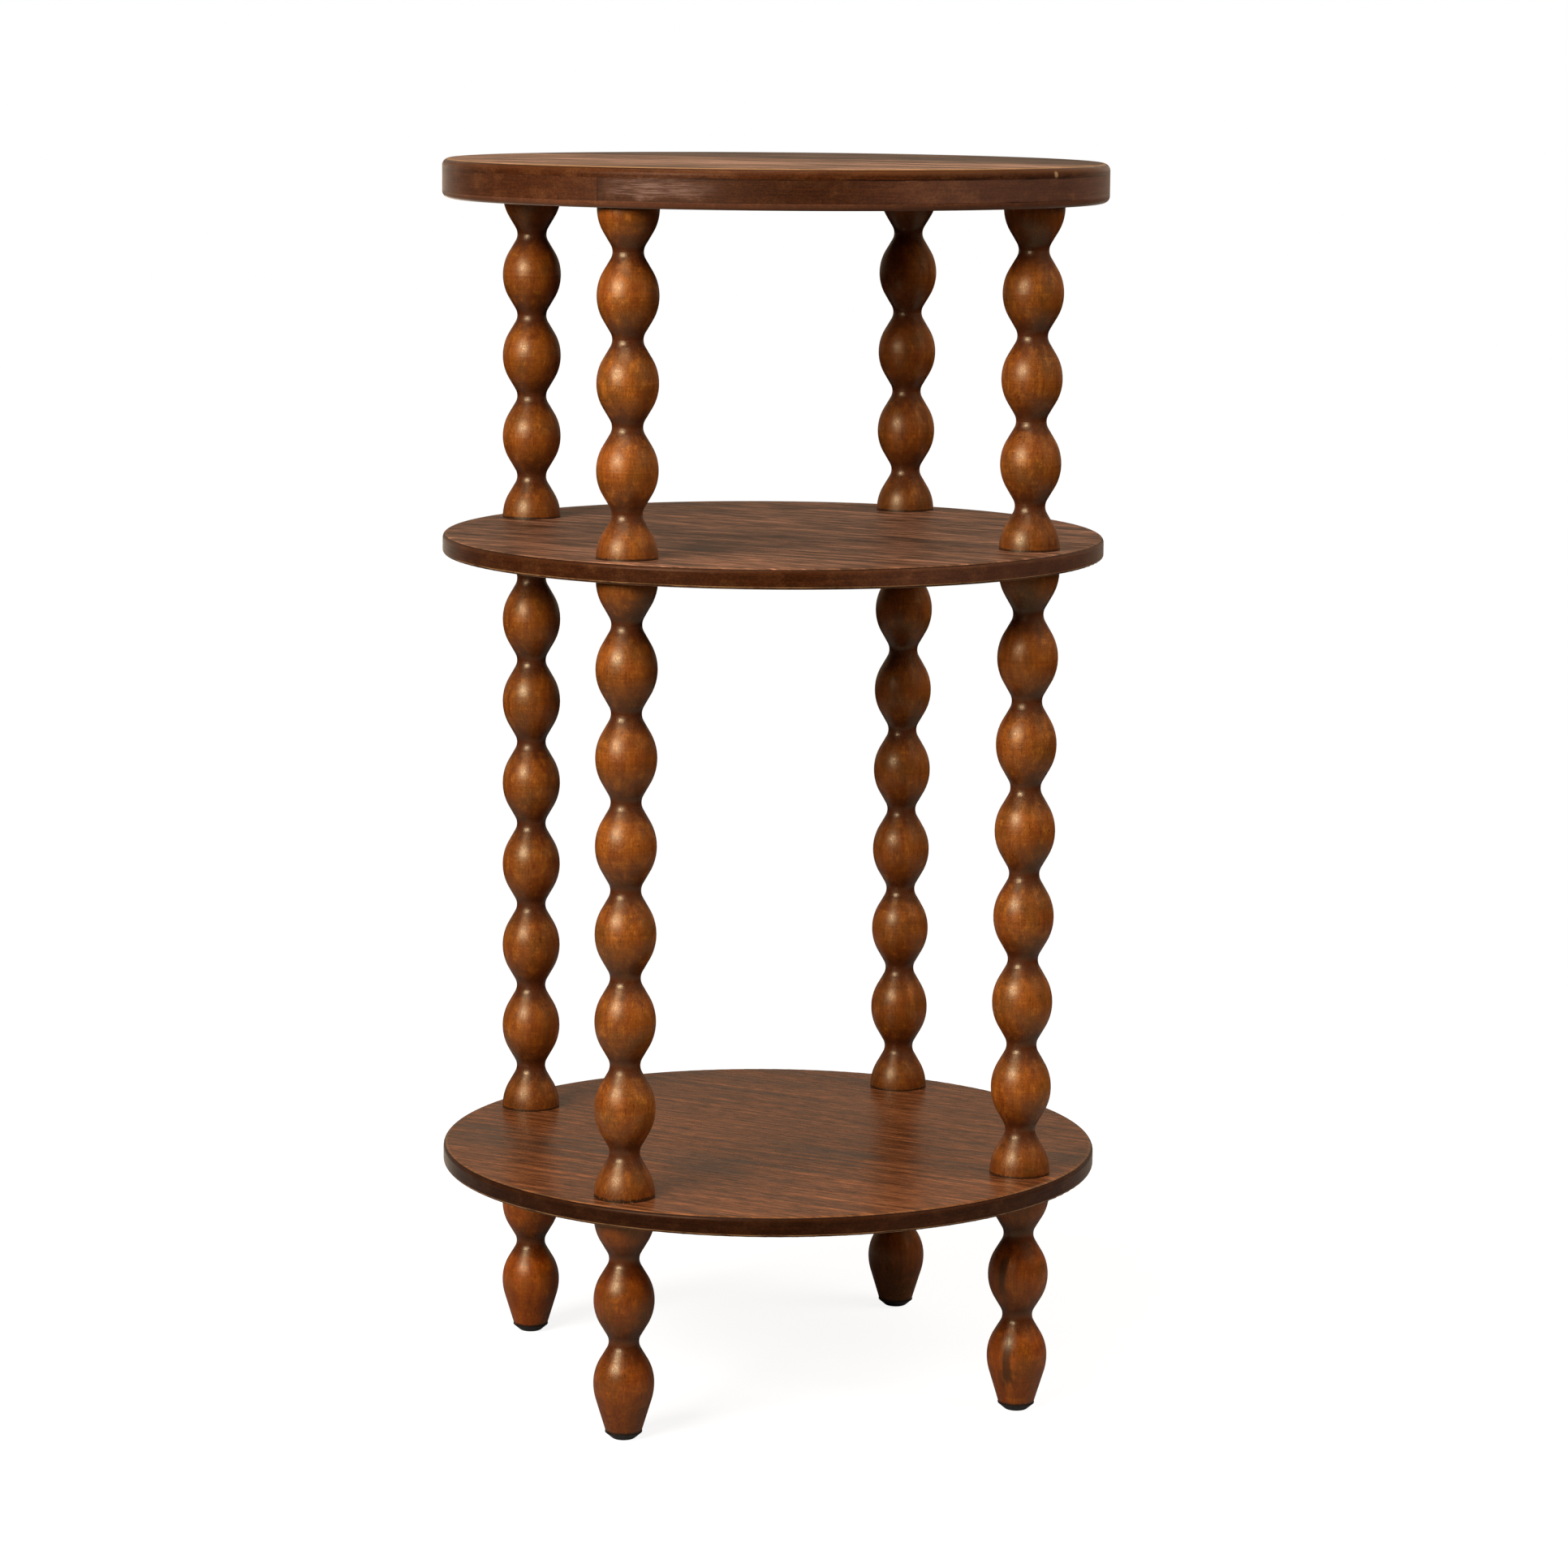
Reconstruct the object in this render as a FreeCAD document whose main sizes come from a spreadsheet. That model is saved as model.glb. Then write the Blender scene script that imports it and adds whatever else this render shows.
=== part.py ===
import FreeCAD, Part
import math
import os
import Sketcher

# Tiered side table: three round veneered boards on four legs of turned bobbin pieces.
# Millimetres, +Z up. The origin is on the floor under the middle of the boards, and front is -Y.
# A leg is a foot, a lower spindle and an upper spindle, one above the other. A hanger bolt in the
# top of each turned piece runs through the shelf above it into an insert nut in the next piece.

# Driving dimensions in millimetres. Names that end in share are plain ratios, and those that end in
# count are whole numbers.
SIZES = {
    # Round boards
    "board_diameter": 400.0,
    "face_veneer_thickness": 0.6,
    "back_veneer_thickness": 1.0,
    "shelf_board_thickness": 10.4,
    "shelf_edge_rounding": 3.0,
    "shelf_underside_rounding": 2.0,
    "top_face_board_thickness": 5.7,
    "top_core_thickness": 13.2,
    "top_backing_thickness": 4.0,
    "top_edge_rounding": 4.5,
    "top_underside_rounding": 4.0,
    "edge_strip_thickness": 8.0,
    "edge_seam_gap": 0.25,
    "glue_gap": 0.05,
    # Turned pieces
    "leg_edge_margin": 9.4,
    "bead_diameter": 36.0,
    "neck_diameter": 18.0,
    "end_land": 0.5,
    "upper_spindle_length": 201.0,
    "lower_spindle_length": 363.5,
    "foot_bead_pitch": 50.0,
    "foot_taper_length": 29.0,
    "foot_end_diameter": 21.4,
    # Whole beads on each turned piece, besides the half bead at a joint and the foot's tapered bulb
    "upper_bead_count": 3,
    "lower_bead_count": 6,
    "foot_bead_count": 1,
    # How a bead's flank leans, and how its arcs are split
    "flank_share": 0.556,
    "bead_arc_share": 0.778,
    "taper_flank_share": 0.2,
    # Glides and their nails
    "glide_height": 4.5,
    "glide_diameter": 22.0,
    "glide_floor_diameter": 11.0,
    "glide_floor_rounding": 2.5,
    "glide_rim_height": 0.6,
    "glide_sole_thickness": 1.5,
    "nail_diameter": 2.4,
    "nail_length": 18.0,
    "nail_point_length": 4.0,
    "nail_head_diameter": 7.0,
    "nail_head_height": 1.0,
    # Hanger bolts and insert nuts
    "bolt_diameter": 8.0,
    "bolt_wood_length": 30.0,
    "bolt_point_length": 6.0,
    "bolt_end_chamfer": 0.8,
    "insert_nut_diameter": 12.0,
    "insert_nut_length": 16.0,
    "insert_nut_chamfer": 0.6,
    "nut_grip_share": 0.85,
    "top_nut_depth_share": 0.8,
    # Clearances, and how far a cut runs on past what it cuts
    "bore_clearance": 0.05,
    "tip_clearance": 0.5,
    "shelf_hole_clearance": 0.25,
    "cut_overrun": 1.0,
}

# Where the four legs stand, as angles round the table, and where the ends of the edge strip meet.
LEG_ANGLES = {"rear_right": 45.0, "rear_left": 135.0, "front_left": 225.0, "front_right": 315.0}
SEAM_ANGLE = 223.8

# Sizes that follow from the driving ones, as formulas over the sheet.
FORMULAS = {
    "board_radius": "sizes.board_diameter / 2",
    "shelf_core_level": "sizes.back_veneer_thickness",
    "shelf_face_level": "derived.shelf_core_level + sizes.shelf_board_thickness",
    "shelf_thickness": "derived.shelf_face_level + sizes.face_veneer_thickness",
    "top_core_level": "sizes.top_backing_thickness",
    "top_face_board_level": "derived.top_core_level + sizes.top_core_thickness",
    "top_face_level": "derived.top_face_board_level + sizes.top_face_board_thickness",
    "top_thickness": "derived.top_face_level + sizes.face_veneer_thickness",
    "blank_radius": "derived.board_radius + sizes.cut_overrun",
    "strip_inner_radius": "derived.board_radius - sizes.edge_strip_thickness",
    "core_radius": "derived.strip_inner_radius - sizes.glue_gap",
    # Turned pieces
    "bead_radius": "sizes.bead_diameter / 2",
    "neck_radius": "sizes.neck_diameter / 2",
    "leg_radius": "derived.board_radius - sizes.leg_edge_margin - derived.bead_radius",
    "swell": "derived.bead_radius - derived.neck_radius",
    "upper_length": "sizes.upper_spindle_length",
    "lower_length": "sizes.lower_spindle_length",
    "upper_pitch": "(derived.upper_length - 2 * sizes.end_land) / (sizes.upper_bead_count + 1)",
    "lower_pitch": "(derived.lower_length - 2 * sizes.end_land) / (sizes.lower_bead_count + 1)",
    "foot_pitch": "sizes.foot_bead_pitch",
    "foot_beads_length": "(sizes.foot_bead_count + 1) * derived.foot_pitch",
    "foot_length": "sizes.end_land + derived.foot_beads_length + sizes.foot_taper_length",
    "foot_end_radius": "sizes.foot_end_diameter / 2",
    "taper_swell": "derived.bead_radius - derived.foot_end_radius",
    "taper_flank": "(1 + sizes.taper_flank_share) * atan(derived.taper_swell / sizes.foot_taper_length)",
    # Heights of the joints above the floor
    "bottom_shelf_level": "sizes.glide_height + derived.foot_length",
    "lower_level": "derived.bottom_shelf_level + derived.shelf_thickness",
    "mid_shelf_level": "derived.lower_level + derived.lower_length",
    "upper_level": "derived.mid_shelf_level + derived.shelf_thickness",
    "top_level": "derived.upper_level + derived.upper_length",
    # Fasteners
    "bolt_radius": "sizes.bolt_diameter / 2",
    "bolt_bore_radius": "derived.bolt_radius + sizes.bore_clearance",
    "bolt_bore_depth": "sizes.bolt_wood_length + sizes.tip_clearance",
    "shelf_hole_radius": "derived.bolt_radius + sizes.shelf_hole_clearance",
    "nut_radius": "sizes.insert_nut_diameter / 2",
    "nut_bore_radius": "derived.nut_radius + sizes.bore_clearance",
    "nut_grip": "sizes.insert_nut_length * sizes.nut_grip_share",
    "top_nut_in_core": "sizes.top_core_thickness * sizes.top_nut_depth_share",
    "top_nut_length": "sizes.top_backing_thickness + derived.top_nut_in_core",
    "shelf_bolt_length": "sizes.bolt_wood_length + derived.shelf_thickness + derived.nut_grip",
    "top_bolt_length": "sizes.bolt_wood_length + derived.top_nut_length * sizes.nut_grip_share",
    "nail_radius": "sizes.nail_diameter / 2",
    "nail_bore_radius": "derived.nail_radius + sizes.bore_clearance",
    "nail_head_radius": "sizes.nail_head_diameter / 2",
    "nail_pocket_radius": "derived.nail_head_radius + sizes.bore_clearance",
    "nail_neck_level": "sizes.glide_sole_thickness + sizes.nail_head_height",
    "nail_tip_level": "sizes.glide_sole_thickness + sizes.nail_length",
    "nail_bore_depth": "derived.nail_tip_level - sizes.glide_height + sizes.tip_clearance",
}
# The flank of a bead leans more than its chord and less than twice as much. Its two arcs share the
# swell and the rise that the straight flank leaves, so the outline closes for any bead, neck and pitch.
for piece in ("upper", "lower", "foot"):
    lean = f"derived.{piece}_flank"
    FORMULAS[f"{piece}_flank"] = f"(1 + sizes.flank_share) * atan(2 * derived.swell / derived.{piece}_pitch)"
    FORMULAS[f"{piece}_arcs"] = (
        f"(derived.{piece}_pitch / 2 * sin({lean}) - derived.swell * cos({lean})) / (1 - cos({lean}))"
    )
    FORMULAS[f"{piece}_bead_arc"] = f"derived.{piece}_arcs * sizes.bead_arc_share"
    FORMULAS[f"{piece}_neck_arc"] = f"derived.{piece}_arcs - derived.{piece}_bead_arc"

# Two points of an outline that are closer than this are one point.
SAME_POINT = 1e-7

doc = FreeCAD.newDocument("tiered_side_table")
sheet = doc.addObject("Spreadsheet::Sheet", "sizes")
for row, (alias, size) in enumerate(SIZES.items(), start=1):
    sheet.set(f"A{row}", alias)
    sheet.set(f"B{row}", str(size))
    sheet.setAlias(f"B{row}", alias)
doc.recompute()
derived = doc.addObject("App::VarSet", "derived")
for name, formula in FORMULAS.items():
    derived.addProperty("App::PropertyFloat", name)
    derived.setExpression(name, formula)
doc.recompute()
nodes = []


def number(name):
    """The present value of a driving or derived size."""
    return float(getattr(sheet if name in SIZES else derived, name))


def bound(name):
    """How an expression refers to a driving or derived size."""
    return f"sizes.{name}" if name in SIZES else f"derived.{name}"


def origin_feature(body, role):
    """The plane or axis of a body's own origin with this role."""
    return next(feature for feature in body.Origin.OriginFeatures if feature.Role == role)


def new_body(label, height=None, turn=0.0):
    """A body on the table's axis at a height given as a formula, turned about that axis."""
    body = doc.addObject("PartDesign::Body", label)
    body.Label = label
    body.Placement.Rotation = FreeCAD.Rotation(FreeCAD.Vector(0, 0, 1), turn)
    if height:
        body.setExpression("Placement.Base.z", height)
    return body


def stand_at_leg(body, leg):
    """Moves a body out from the table's axis to one of the legs."""
    body.setExpression("Placement.Base.x", f"derived.leg_radius * cos({LEG_ANGLES[leg]})")
    body.setExpression("Placement.Base.y", f"derived.leg_radius * sin({LEG_ANGLES[leg]})")


class Outline:
    """A closed chain of lines and arcs, drawn from a start point on a plane of a body.

    A place on the chain is a pair: the number of a stretch, and which of its points.
    """

    ORIGIN = (-1, 1)

    @staticmethod
    def centre(stretch):
        """The place of an arc's or a circle's centre."""
        return (stretch, 3)

    def __init__(self, body, name, start, role="XZ_Plane", along=None):
        self.body = body
        self.sketch = body.newObject("Sketcher::SketchObject", name)
        self.sketch.AttachmentSupport = (origin_feature(body, role), [""])
        self.sketch.MapMode = "FlatFace"
        if along:
            self.sketch.setExpression("AttachmentOffset.Base.x", along)
        self.start = self.last = FreeCAD.Vector(*start)
        self.heads = []
        self.tails = []

    def rule(self, kind, *places):
        """A rule between places or whole stretches, such as Coincident or Equal."""
        flat = [part for place in places for part in (place if isinstance(place, tuple) else (place,))]
        self.sketch.addConstraint(Sketcher.Constraint(kind, *flat))

    def add(self, geometry, head, tail, smooth):
        """Adds one stretch, joined to the one before it, and gives its number."""
        stretch = self.sketch.addGeometry(geometry)
        self.heads.append((stretch, head))
        self.tails.append((stretch, tail))
        if stretch:
            self.rule("Tangent" if smooth else "Coincident", self.tails[stretch - 1], self.heads[stretch])
        return stretch

    def line(self, x, y, smooth=False):
        """A straight stretch to a point, kept level or upright where it is drawn so."""
        end = FreeCAD.Vector(x, y)
        step = end - self.last
        stretch = self.add(Part.LineSegment(self.last, end), 1, 2, smooth)
        if abs(step.y) < SAME_POINT:
            self.rule("Horizontal", stretch)
        if abs(step.x) < SAME_POINT:
            self.rule("Vertical", stretch)
        self.last = end
        return stretch

    def arc(self, centre, end, left=True, smooth=True):
        """A round stretch about a centre to a point, bending left or right on its way."""
        middle = FreeCAD.Vector(*centre)
        point = FreeCAD.Vector(*end)
        first, second = (math.atan2(spoke.y, spoke.x) for spoke in (self.last - middle, point - middle))
        circle = Part.Circle(middle, FreeCAD.Vector(0, 0, 1), (point - middle).Length)
        if left:
            stretch = self.add(Part.ArcOfCircle(circle, first, second), 1, 2, smooth)
        else:
            stretch = self.add(Part.ArcOfCircle(circle, second, first), 2, 1, smooth)
        self.last = point
        return stretch

    def close(self, on_axis=True):
        """The last straight stretch, back to the start, which may lie on the axis of the turning."""
        stretch = self.line(self.start.x, self.start.y)
        self.rule("Coincident", self.tails[stretch], self.heads[0])
        if on_axis:
            self.rule("PointOnObject", self.heads[stretch], -2)

    def size(self, kind, formula, present, *places):
        """A dimension that follows a formula, first set to the value that the drawing has."""
        flat = [part for place in places for part in place]
        mark = self.sketch.addConstraint(Sketcher.Constraint(kind, *flat, present))
        self.sketch.setExpression(f"Constraints[{mark}]", formula)

    def out(self, formula, place, start=ORIGIN):
        """How far a place lies to the right of another, or of the origin."""
        step = self.sketch.getPoint(*place) - self.sketch.getPoint(*start)
        self.size("DistanceX", formula, step.x, start, place)

    def up(self, formula, place, start=ORIGIN):
        """How far a place lies above another, or above the origin."""
        step = self.sketch.getPoint(*place) - self.sketch.getPoint(*start)
        self.size("DistanceY", formula, step.y, start, place)

    def down(self, formula, place):
        """How far a place lies below the origin."""
        self.size("DistanceY", formula, -self.sketch.getPoint(*place).y, place, self.ORIGIN)

    def radius(self, formula, stretch):
        self.size("Radius", formula, self.sketch.Geometry[stretch].Radius, (stretch,))

    def slope(self, formula, stretch):
        """The direction of a straight stretch, in degrees from the level."""
        line = self.sketch.Geometry[stretch]
        step = line.EndPoint - line.StartPoint
        self.size("Angle", formula, math.atan2(step.y, step.x), (stretch,))

    def turned(self, name):
        """The solid that the outline sweeps when it turns once about its own upright axis."""
        turning = self.body.newObject("PartDesign::Revolution", name)
        turning.Profile = self.sketch
        turning.ReferenceAxis = (self.sketch, ["V_Axis"])
        turning.Angle = 360
        return turning


def round_outline(body, name, radii, height=None, out=None):
    """A sketch of concentric circles across a body's axis, or across an axis that lies out along X."""
    sketch = body.newObject("Sketcher::SketchObject", name)
    sketch.AttachmentSupport = (origin_feature(body, "XY_Plane"), [""])
    sketch.MapMode = "FlatFace"
    if height:
        sketch.setExpression("AttachmentOffset.Base.z", height)
    if out:
        sketch.setExpression("AttachmentOffset.Base.x", bound(out))
    for radius in radii:
        circle = Part.Circle(FreeCAD.Vector(), FreeCAD.Vector(0, 0, 1), number(radius))
        ring = sketch.addGeometry(circle)
        sketch.addConstraint(Sketcher.Constraint("Coincident", *Outline.centre(ring), *Outline.ORIGIN))
        mark = sketch.addConstraint(Sketcher.Constraint("Radius", ring, number(radius)))
        sketch.setExpression(f"Constraints[{mark}]", bound(radius))
    return sketch


def pocket(body, sketch, name, upward, depth=None):
    """Cuts a sketch into a body, to a depth or right through, and makes sure that it cut."""
    doc.recompute()
    whole = body.Shape.Volume
    cut = body.newObject("PartDesign::Pocket", name)
    cut.Profile = sketch
    cut.Reversed = upward
    if depth:
        cut.setExpression("Length", bound(depth))
    else:
        cut.Type = "ThroughAll"
    doc.recompute()
    if not body.Shape.Volume < whole:
        raise ValueError(f"{name} in {body.Label} cut nothing")
    return cut


def at_each_leg(body, feature):
    """Repeats a feature of a body round the table's axis, once for each leg."""
    doc.recompute()
    ring = body.newObject("PartDesign::PolarPattern", "at_each_leg")
    ring.Originals = [feature]
    ring.Axis = (origin_feature(body, "Z_Axis"), [""])
    ring.Angle = 360
    ring.Occurrences = len(LEG_ANGLES)
    body.Tip = ring


# Turned pieces. Each body has its origin half-way along and the half bead of its joint at the bottom.


def bead_points(piece):
    """The centres of a bead's and a neck's arcs, out from the axis, and where the flank touches them."""
    bead_arc, neck_arc = number(f"{piece}_bead_arc"), number(f"{piece}_neck_arc")
    lean = math.radians(number(f"{piece}_flank"))
    bead_centre = number("bead_radius") - bead_arc
    neck_centre = number("neck_radius") + neck_arc
    bead_touch = (bead_centre + bead_arc * math.cos(lean), bead_arc * math.sin(lean))
    neck_touch = (neck_centre - neck_arc * math.cos(lean), neck_arc * math.sin(lean))
    return bead_centre, neck_centre, bead_touch, neck_touch


def neck_to_crest(outline, piece, base):
    """Draws from the axis out to a neck and up the flank to the widest place of the bead above it."""
    bead_centre, neck_centre, bead_touch, neck_touch = bead_points(piece)
    neck = number("neck_radius")
    crest_level = base + number(f"{piece}_pitch") / 2
    seat = outline.line(neck, base)
    throat_end = (neck_touch[0], base + neck_touch[1])
    throat = outline.arc((neck_centre, base), throat_end, left=False, smooth=False)
    flank = outline.line(bead_touch[0], crest_level - bead_touch[1], smooth=True)
    crest = outline.arc((bead_centre, crest_level), (number("bead_radius"), crest_level))
    outline.out("derived.neck_radius", outline.tails[seat])
    outline.rule("Horizontal", outline.centre(throat), outline.heads[throat])
    outline.slope(f"90 - derived.{piece}_flank", flank)
    outline.radius(f"derived.{piece}_bead_arc", crest)
    outline.rule("Horizontal", outline.centre(crest), outline.tails[crest])
    outline.out("derived.bead_radius", outline.tails[crest])
    outline.up(f"derived.{piece}_pitch / 2", outline.tails[crest], outline.tails[seat])
    return seat, crest


def crest_to_neck(outline, piece, crest_level):
    """Draws from a bead's widest place up the flank to the neck above it, in to the axis and back."""
    bead_centre, neck_centre, bead_touch, neck_touch = bead_points(piece)
    neck_level = crest_level + number(f"{piece}_pitch") / 2
    crest = outline.arc((bead_centre, crest_level), (bead_touch[0], crest_level + bead_touch[1]))
    flank = outline.line(neck_touch[0], neck_level - neck_touch[1], smooth=True)
    throat = outline.arc((neck_centre, neck_level), (number("neck_radius"), neck_level), left=False)
    outline.line(0, neck_level)
    outline.close()
    outline.radius(f"derived.{piece}_bead_arc", crest)
    outline.slope(f"90 + derived.{piece}_flank", flank)
    outline.rule("Horizontal", outline.centre(throat), outline.tails[throat])
    outline.out("derived.neck_radius", outline.tails[throat])
    outline.up(f"derived.{piece}_pitch / 2", outline.tails[throat], outline.heads[crest])


def joint_end(body, piece):
    """The half bead at a joint: a square end, a narrow land and half a bead up to the first neck."""
    base = -number(f"{piece}_length") / 2
    bead = number("bead_radius")
    crest_level = base + number("end_land")
    outline = Outline(body, "joint_end_outline", (0, base))
    seat = outline.line(bead, base)
    land = outline.line(bead, crest_level)
    crest_to_neck(outline, piece, crest_level)
    outline.out("derived.bead_radius", outline.tails[seat])
    outline.down(f"derived.{piece}_length / 2", outline.tails[seat])
    outline.up("sizes.end_land", outline.tails[land], outline.heads[land])
    return outline.turned("joint_end")


def whole_beads(body, piece):
    """The beads after the joint's half bead: one from neck to neck, repeated along the piece."""
    pitch = number(f"{piece}_pitch")
    base = -number(f"{piece}_length") / 2 + number("end_land") + pitch / 2
    outline = Outline(body, "bead_outline", (0, base))
    seat, crest = neck_to_crest(outline, piece, base)
    crest_to_neck(outline, piece, base + pitch / 2)
    outline.down(
        f"derived.{piece}_length / 2 - sizes.end_land - derived.{piece}_pitch / 2", outline.tails[seat]
    )
    bead = outline.turned("bead")
    doc.recompute()
    count = f"{piece}_bead_count"
    if number(count) > 1:
        beads = body.newObject("PartDesign::LinearPattern", "beads")
        beads.Originals = [bead]
        beads.Direction = (origin_feature(body, "Z_Axis"), [""])
        beads.setExpression("Occurrences", bound(count))
        beads.setExpression("Length", f"derived.{piece}_pitch * ({bound(count)} - 1)")
        body.Tip = beads
        doc.recompute()


def tapered_bulb(body):
    """The foot's long last bead, which tapers from its widest place to the seat of the glide."""
    end_level = number("foot_length") / 2
    crest_level = end_level - number("foot_taper_length")
    lean = math.radians(number("taper_flank"))
    swell = number("taper_swell")
    rise = number("foot_taper_length") * math.sin(lean) - swell * math.cos(lean)
    taper_arc = rise / (1 - math.cos(lean))
    centre = number("bead_radius") - taper_arc
    outline = Outline(body, "bulb_outline", (0, crest_level - number("foot_pitch") / 2))
    seat, crest = neck_to_crest(outline, "foot", crest_level - number("foot_pitch") / 2)
    shoulder = (centre + taper_arc * math.cos(lean), crest_level + taper_arc * math.sin(lean))
    outline.arc((centre, crest_level), shoulder)
    taper = outline.line(number("foot_end_radius"), end_level, smooth=True)
    outline.line(0, end_level)
    outline.close()
    outline.slope("90 + derived.taper_flank", taper)
    outline.out("derived.foot_end_radius", outline.tails[taper])
    outline.up("sizes.foot_taper_length", outline.tails[taper], outline.tails[crest])
    outline.up("derived.foot_length / 2", outline.tails[taper])
    return outline.turned("bulb")


def bore(body, name, radius, depth, piece, upper):
    """A round hole along the axis from the lower or the upper end of a turned piece."""
    height = f"derived.{piece}_length / 2"
    sketch = round_outline(body, f"{name}_outline", [radius], height if upper else f"-{height}")
    pocket(body, sketch, name, not upper, depth)


def spindle(label, piece, leg):
    """A spindle between two boards: beads from end to end, a nut's bore below and a bolt's above."""
    body = new_body(label, f"derived.{piece}_level + derived.{piece}_length / 2")
    stand_at_leg(body, leg)
    end = joint_end(body, piece)
    whole_beads(body, piece)
    upper_end = body.newObject("PartDesign::Mirrored", "upper_joint_end")
    upper_end.Originals = [end]
    upper_end.MirrorPlane = (origin_feature(body, "XY_Plane"), [""])
    body.Tip = upper_end
    bore(body, "nut_bore", "nut_bore_radius", "insert_nut_length", piece, upper=False)
    bore(body, "bolt_bore", "bolt_bore_radius", "bolt_bore_depth", piece, upper=True)
    nodes.append(body)


def foot(label, leg):
    """A foot under the bottom shelf, drawn from its joint and then stood on its glide's end."""
    body = new_body(label, "sizes.glide_height + derived.foot_length / 2")
    body.Placement.Rotation = FreeCAD.Rotation(FreeCAD.Vector(1, 0, 0), 180)
    stand_at_leg(body, leg)
    joint_end(body, "foot")
    whole_beads(body, "foot")
    tapered_bulb(body)
    bore(body, "bolt_bore", "bolt_bore_radius", "bolt_bore_depth", "foot", upper=False)
    bore(body, "nail_bore", "nail_bore_radius", "nail_bore_depth", "foot", upper=True)
    nodes.append(body)


# Boards. A rounded outline of the whole board trims each of its glued layers.


def rounded_board(label, level, thickness, edge_rounding, underside_rounding):
    """A whole board with both its edges rounded, as the router leaves the glued-up blank."""
    body = new_body(label, bound(level))
    side, top = number("board_radius"), number(thickness)
    upper, lower = number(edge_rounding), number(underside_rounding)
    outline = Outline(body, "edge_outline", (0, 0))
    base = outline.line(side - lower, 0)
    lower_arc = outline.arc((side - lower, lower), (side, lower))
    edge = outline.line(side, top - upper, smooth=True)
    upper_arc = outline.arc((side - upper, top - upper), (side - upper, top))
    face = outline.line(0, top, smooth=True)
    outline.close()
    outline.rule("PointOnObject", outline.heads[base], -1)
    outline.radius(bound(underside_rounding), lower_arc)
    outline.radius(bound(edge_rounding), upper_arc)
    outline.out("derived.board_radius", outline.tails[edge])
    outline.up(bound(thickness), outline.heads[face])
    outline.turned("edge")
    return body


def blank(label, level, thickness, radii, turn):
    """A round layer before its edge is shaped."""
    body = new_body(f"{label}_blank", level, turn)
    disc = body.newObject("PartDesign::Pad", "disc")
    disc.Profile = round_outline(body, "disc_outline", radii)
    disc.setExpression("Length", bound(thickness))
    return body


def trimmed(label, layer, board):
    """A layer inside the rounded outline of its board."""
    piece = doc.addObject("Part::Common", label)
    piece.Label = label
    piece.Base = layer
    piece.Tool = board
    nodes.append(piece)


def board_layer(label, board, level, thickness, radius="blank_radius", hole=None, hole_depth=None):
    """One glued layer of a board, with a hole for each leg's bolt or nut where it has one."""
    layer = blank(label, level, thickness, [radius], LEG_ANGLES["rear_right"])
    if hole:
        sketch = round_outline(layer, "hole_outline", [hole], out="leg_radius")
        at_each_leg(layer, pocket(layer, sketch, "hole", True, hole_depth))
    trimmed(label, layer, board)


def shelf(label):
    """A shelf: a board between a face veneer and a thicker back veneer, drilled for the bolts."""
    level = f"derived.{label}_level"
    roundings = ("shelf_edge_rounding", "shelf_underside_rounding")
    board = rounded_board(f"{label}_edge", f"{label}_level", "shelf_thickness", *roundings)
    hole = "shelf_hole_radius"
    board_layer(f"{label}_back_veneer", board, level, "back_veneer_thickness", hole=hole)
    core = f"{level} + derived.shelf_core_level"
    board_layer(f"{label}_board", board, core, "shelf_board_thickness", hole=hole)
    face = f"{level} + derived.shelf_face_level"
    board_layer(f"{label}_face_veneer", board, face, "face_veneer_thickness", hole=hole)


def edge_strip(board):
    """The strip bent round the top's core, whose two ends meet in an upright butt seam."""
    strip = blank(
        "top_edge_strip",
        "derived.top_level + derived.top_core_level",
        "top_core_thickness",
        ["blank_radius", "strip_inner_radius"],
        SEAM_ANGLE,
    )
    inner = number("strip_inner_radius") - number("cut_overrun")
    outer = number("blank_radius") + number("cut_overrun")
    half_gap = number("edge_seam_gap") / 2
    seam = Outline(strip, "seam_outline", (inner, -half_gap), role="XY_Plane")
    lower = seam.line(outer, -half_gap)
    end = seam.line(outer, half_gap)
    seam.line(inner, half_gap)
    seam.close(on_axis=False)
    seam.out("derived.strip_inner_radius - sizes.cut_overrun", seam.heads[lower])
    seam.out("derived.blank_radius + sizes.cut_overrun", seam.tails[lower])
    seam.down("sizes.edge_seam_gap / 2", seam.tails[lower])
    seam.up("sizes.edge_seam_gap / 2", seam.tails[end])
    pocket(strip, seam.sketch, "seam", True)
    trimmed("top_edge_strip", strip, board)


def table_top():
    """The top: a core in its edge strip, between a backing board and a veneered face board."""
    roundings = ("top_edge_rounding", "top_underside_rounding")
    board = rounded_board("top_edge", "top_level", "top_thickness", *roundings)
    hole = "nut_bore_radius"
    level = "derived.top_level"
    board_layer("top_backing_board", board, level, "top_backing_thickness", hole=hole)
    core = f"{level} + derived.top_core_level"
    board_layer("top_core", board, core, "top_core_thickness", "core_radius", hole, "top_nut_in_core")
    edge_strip(board)
    face_board = f"{level} + derived.top_face_board_level"
    board_layer("top_face_board", board, face_board, "top_face_board_thickness")
    face = f"{level} + derived.top_face_level"
    board_layer("top_face_veneer", board, face, "face_veneer_thickness")


# Glides and fasteners


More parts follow.
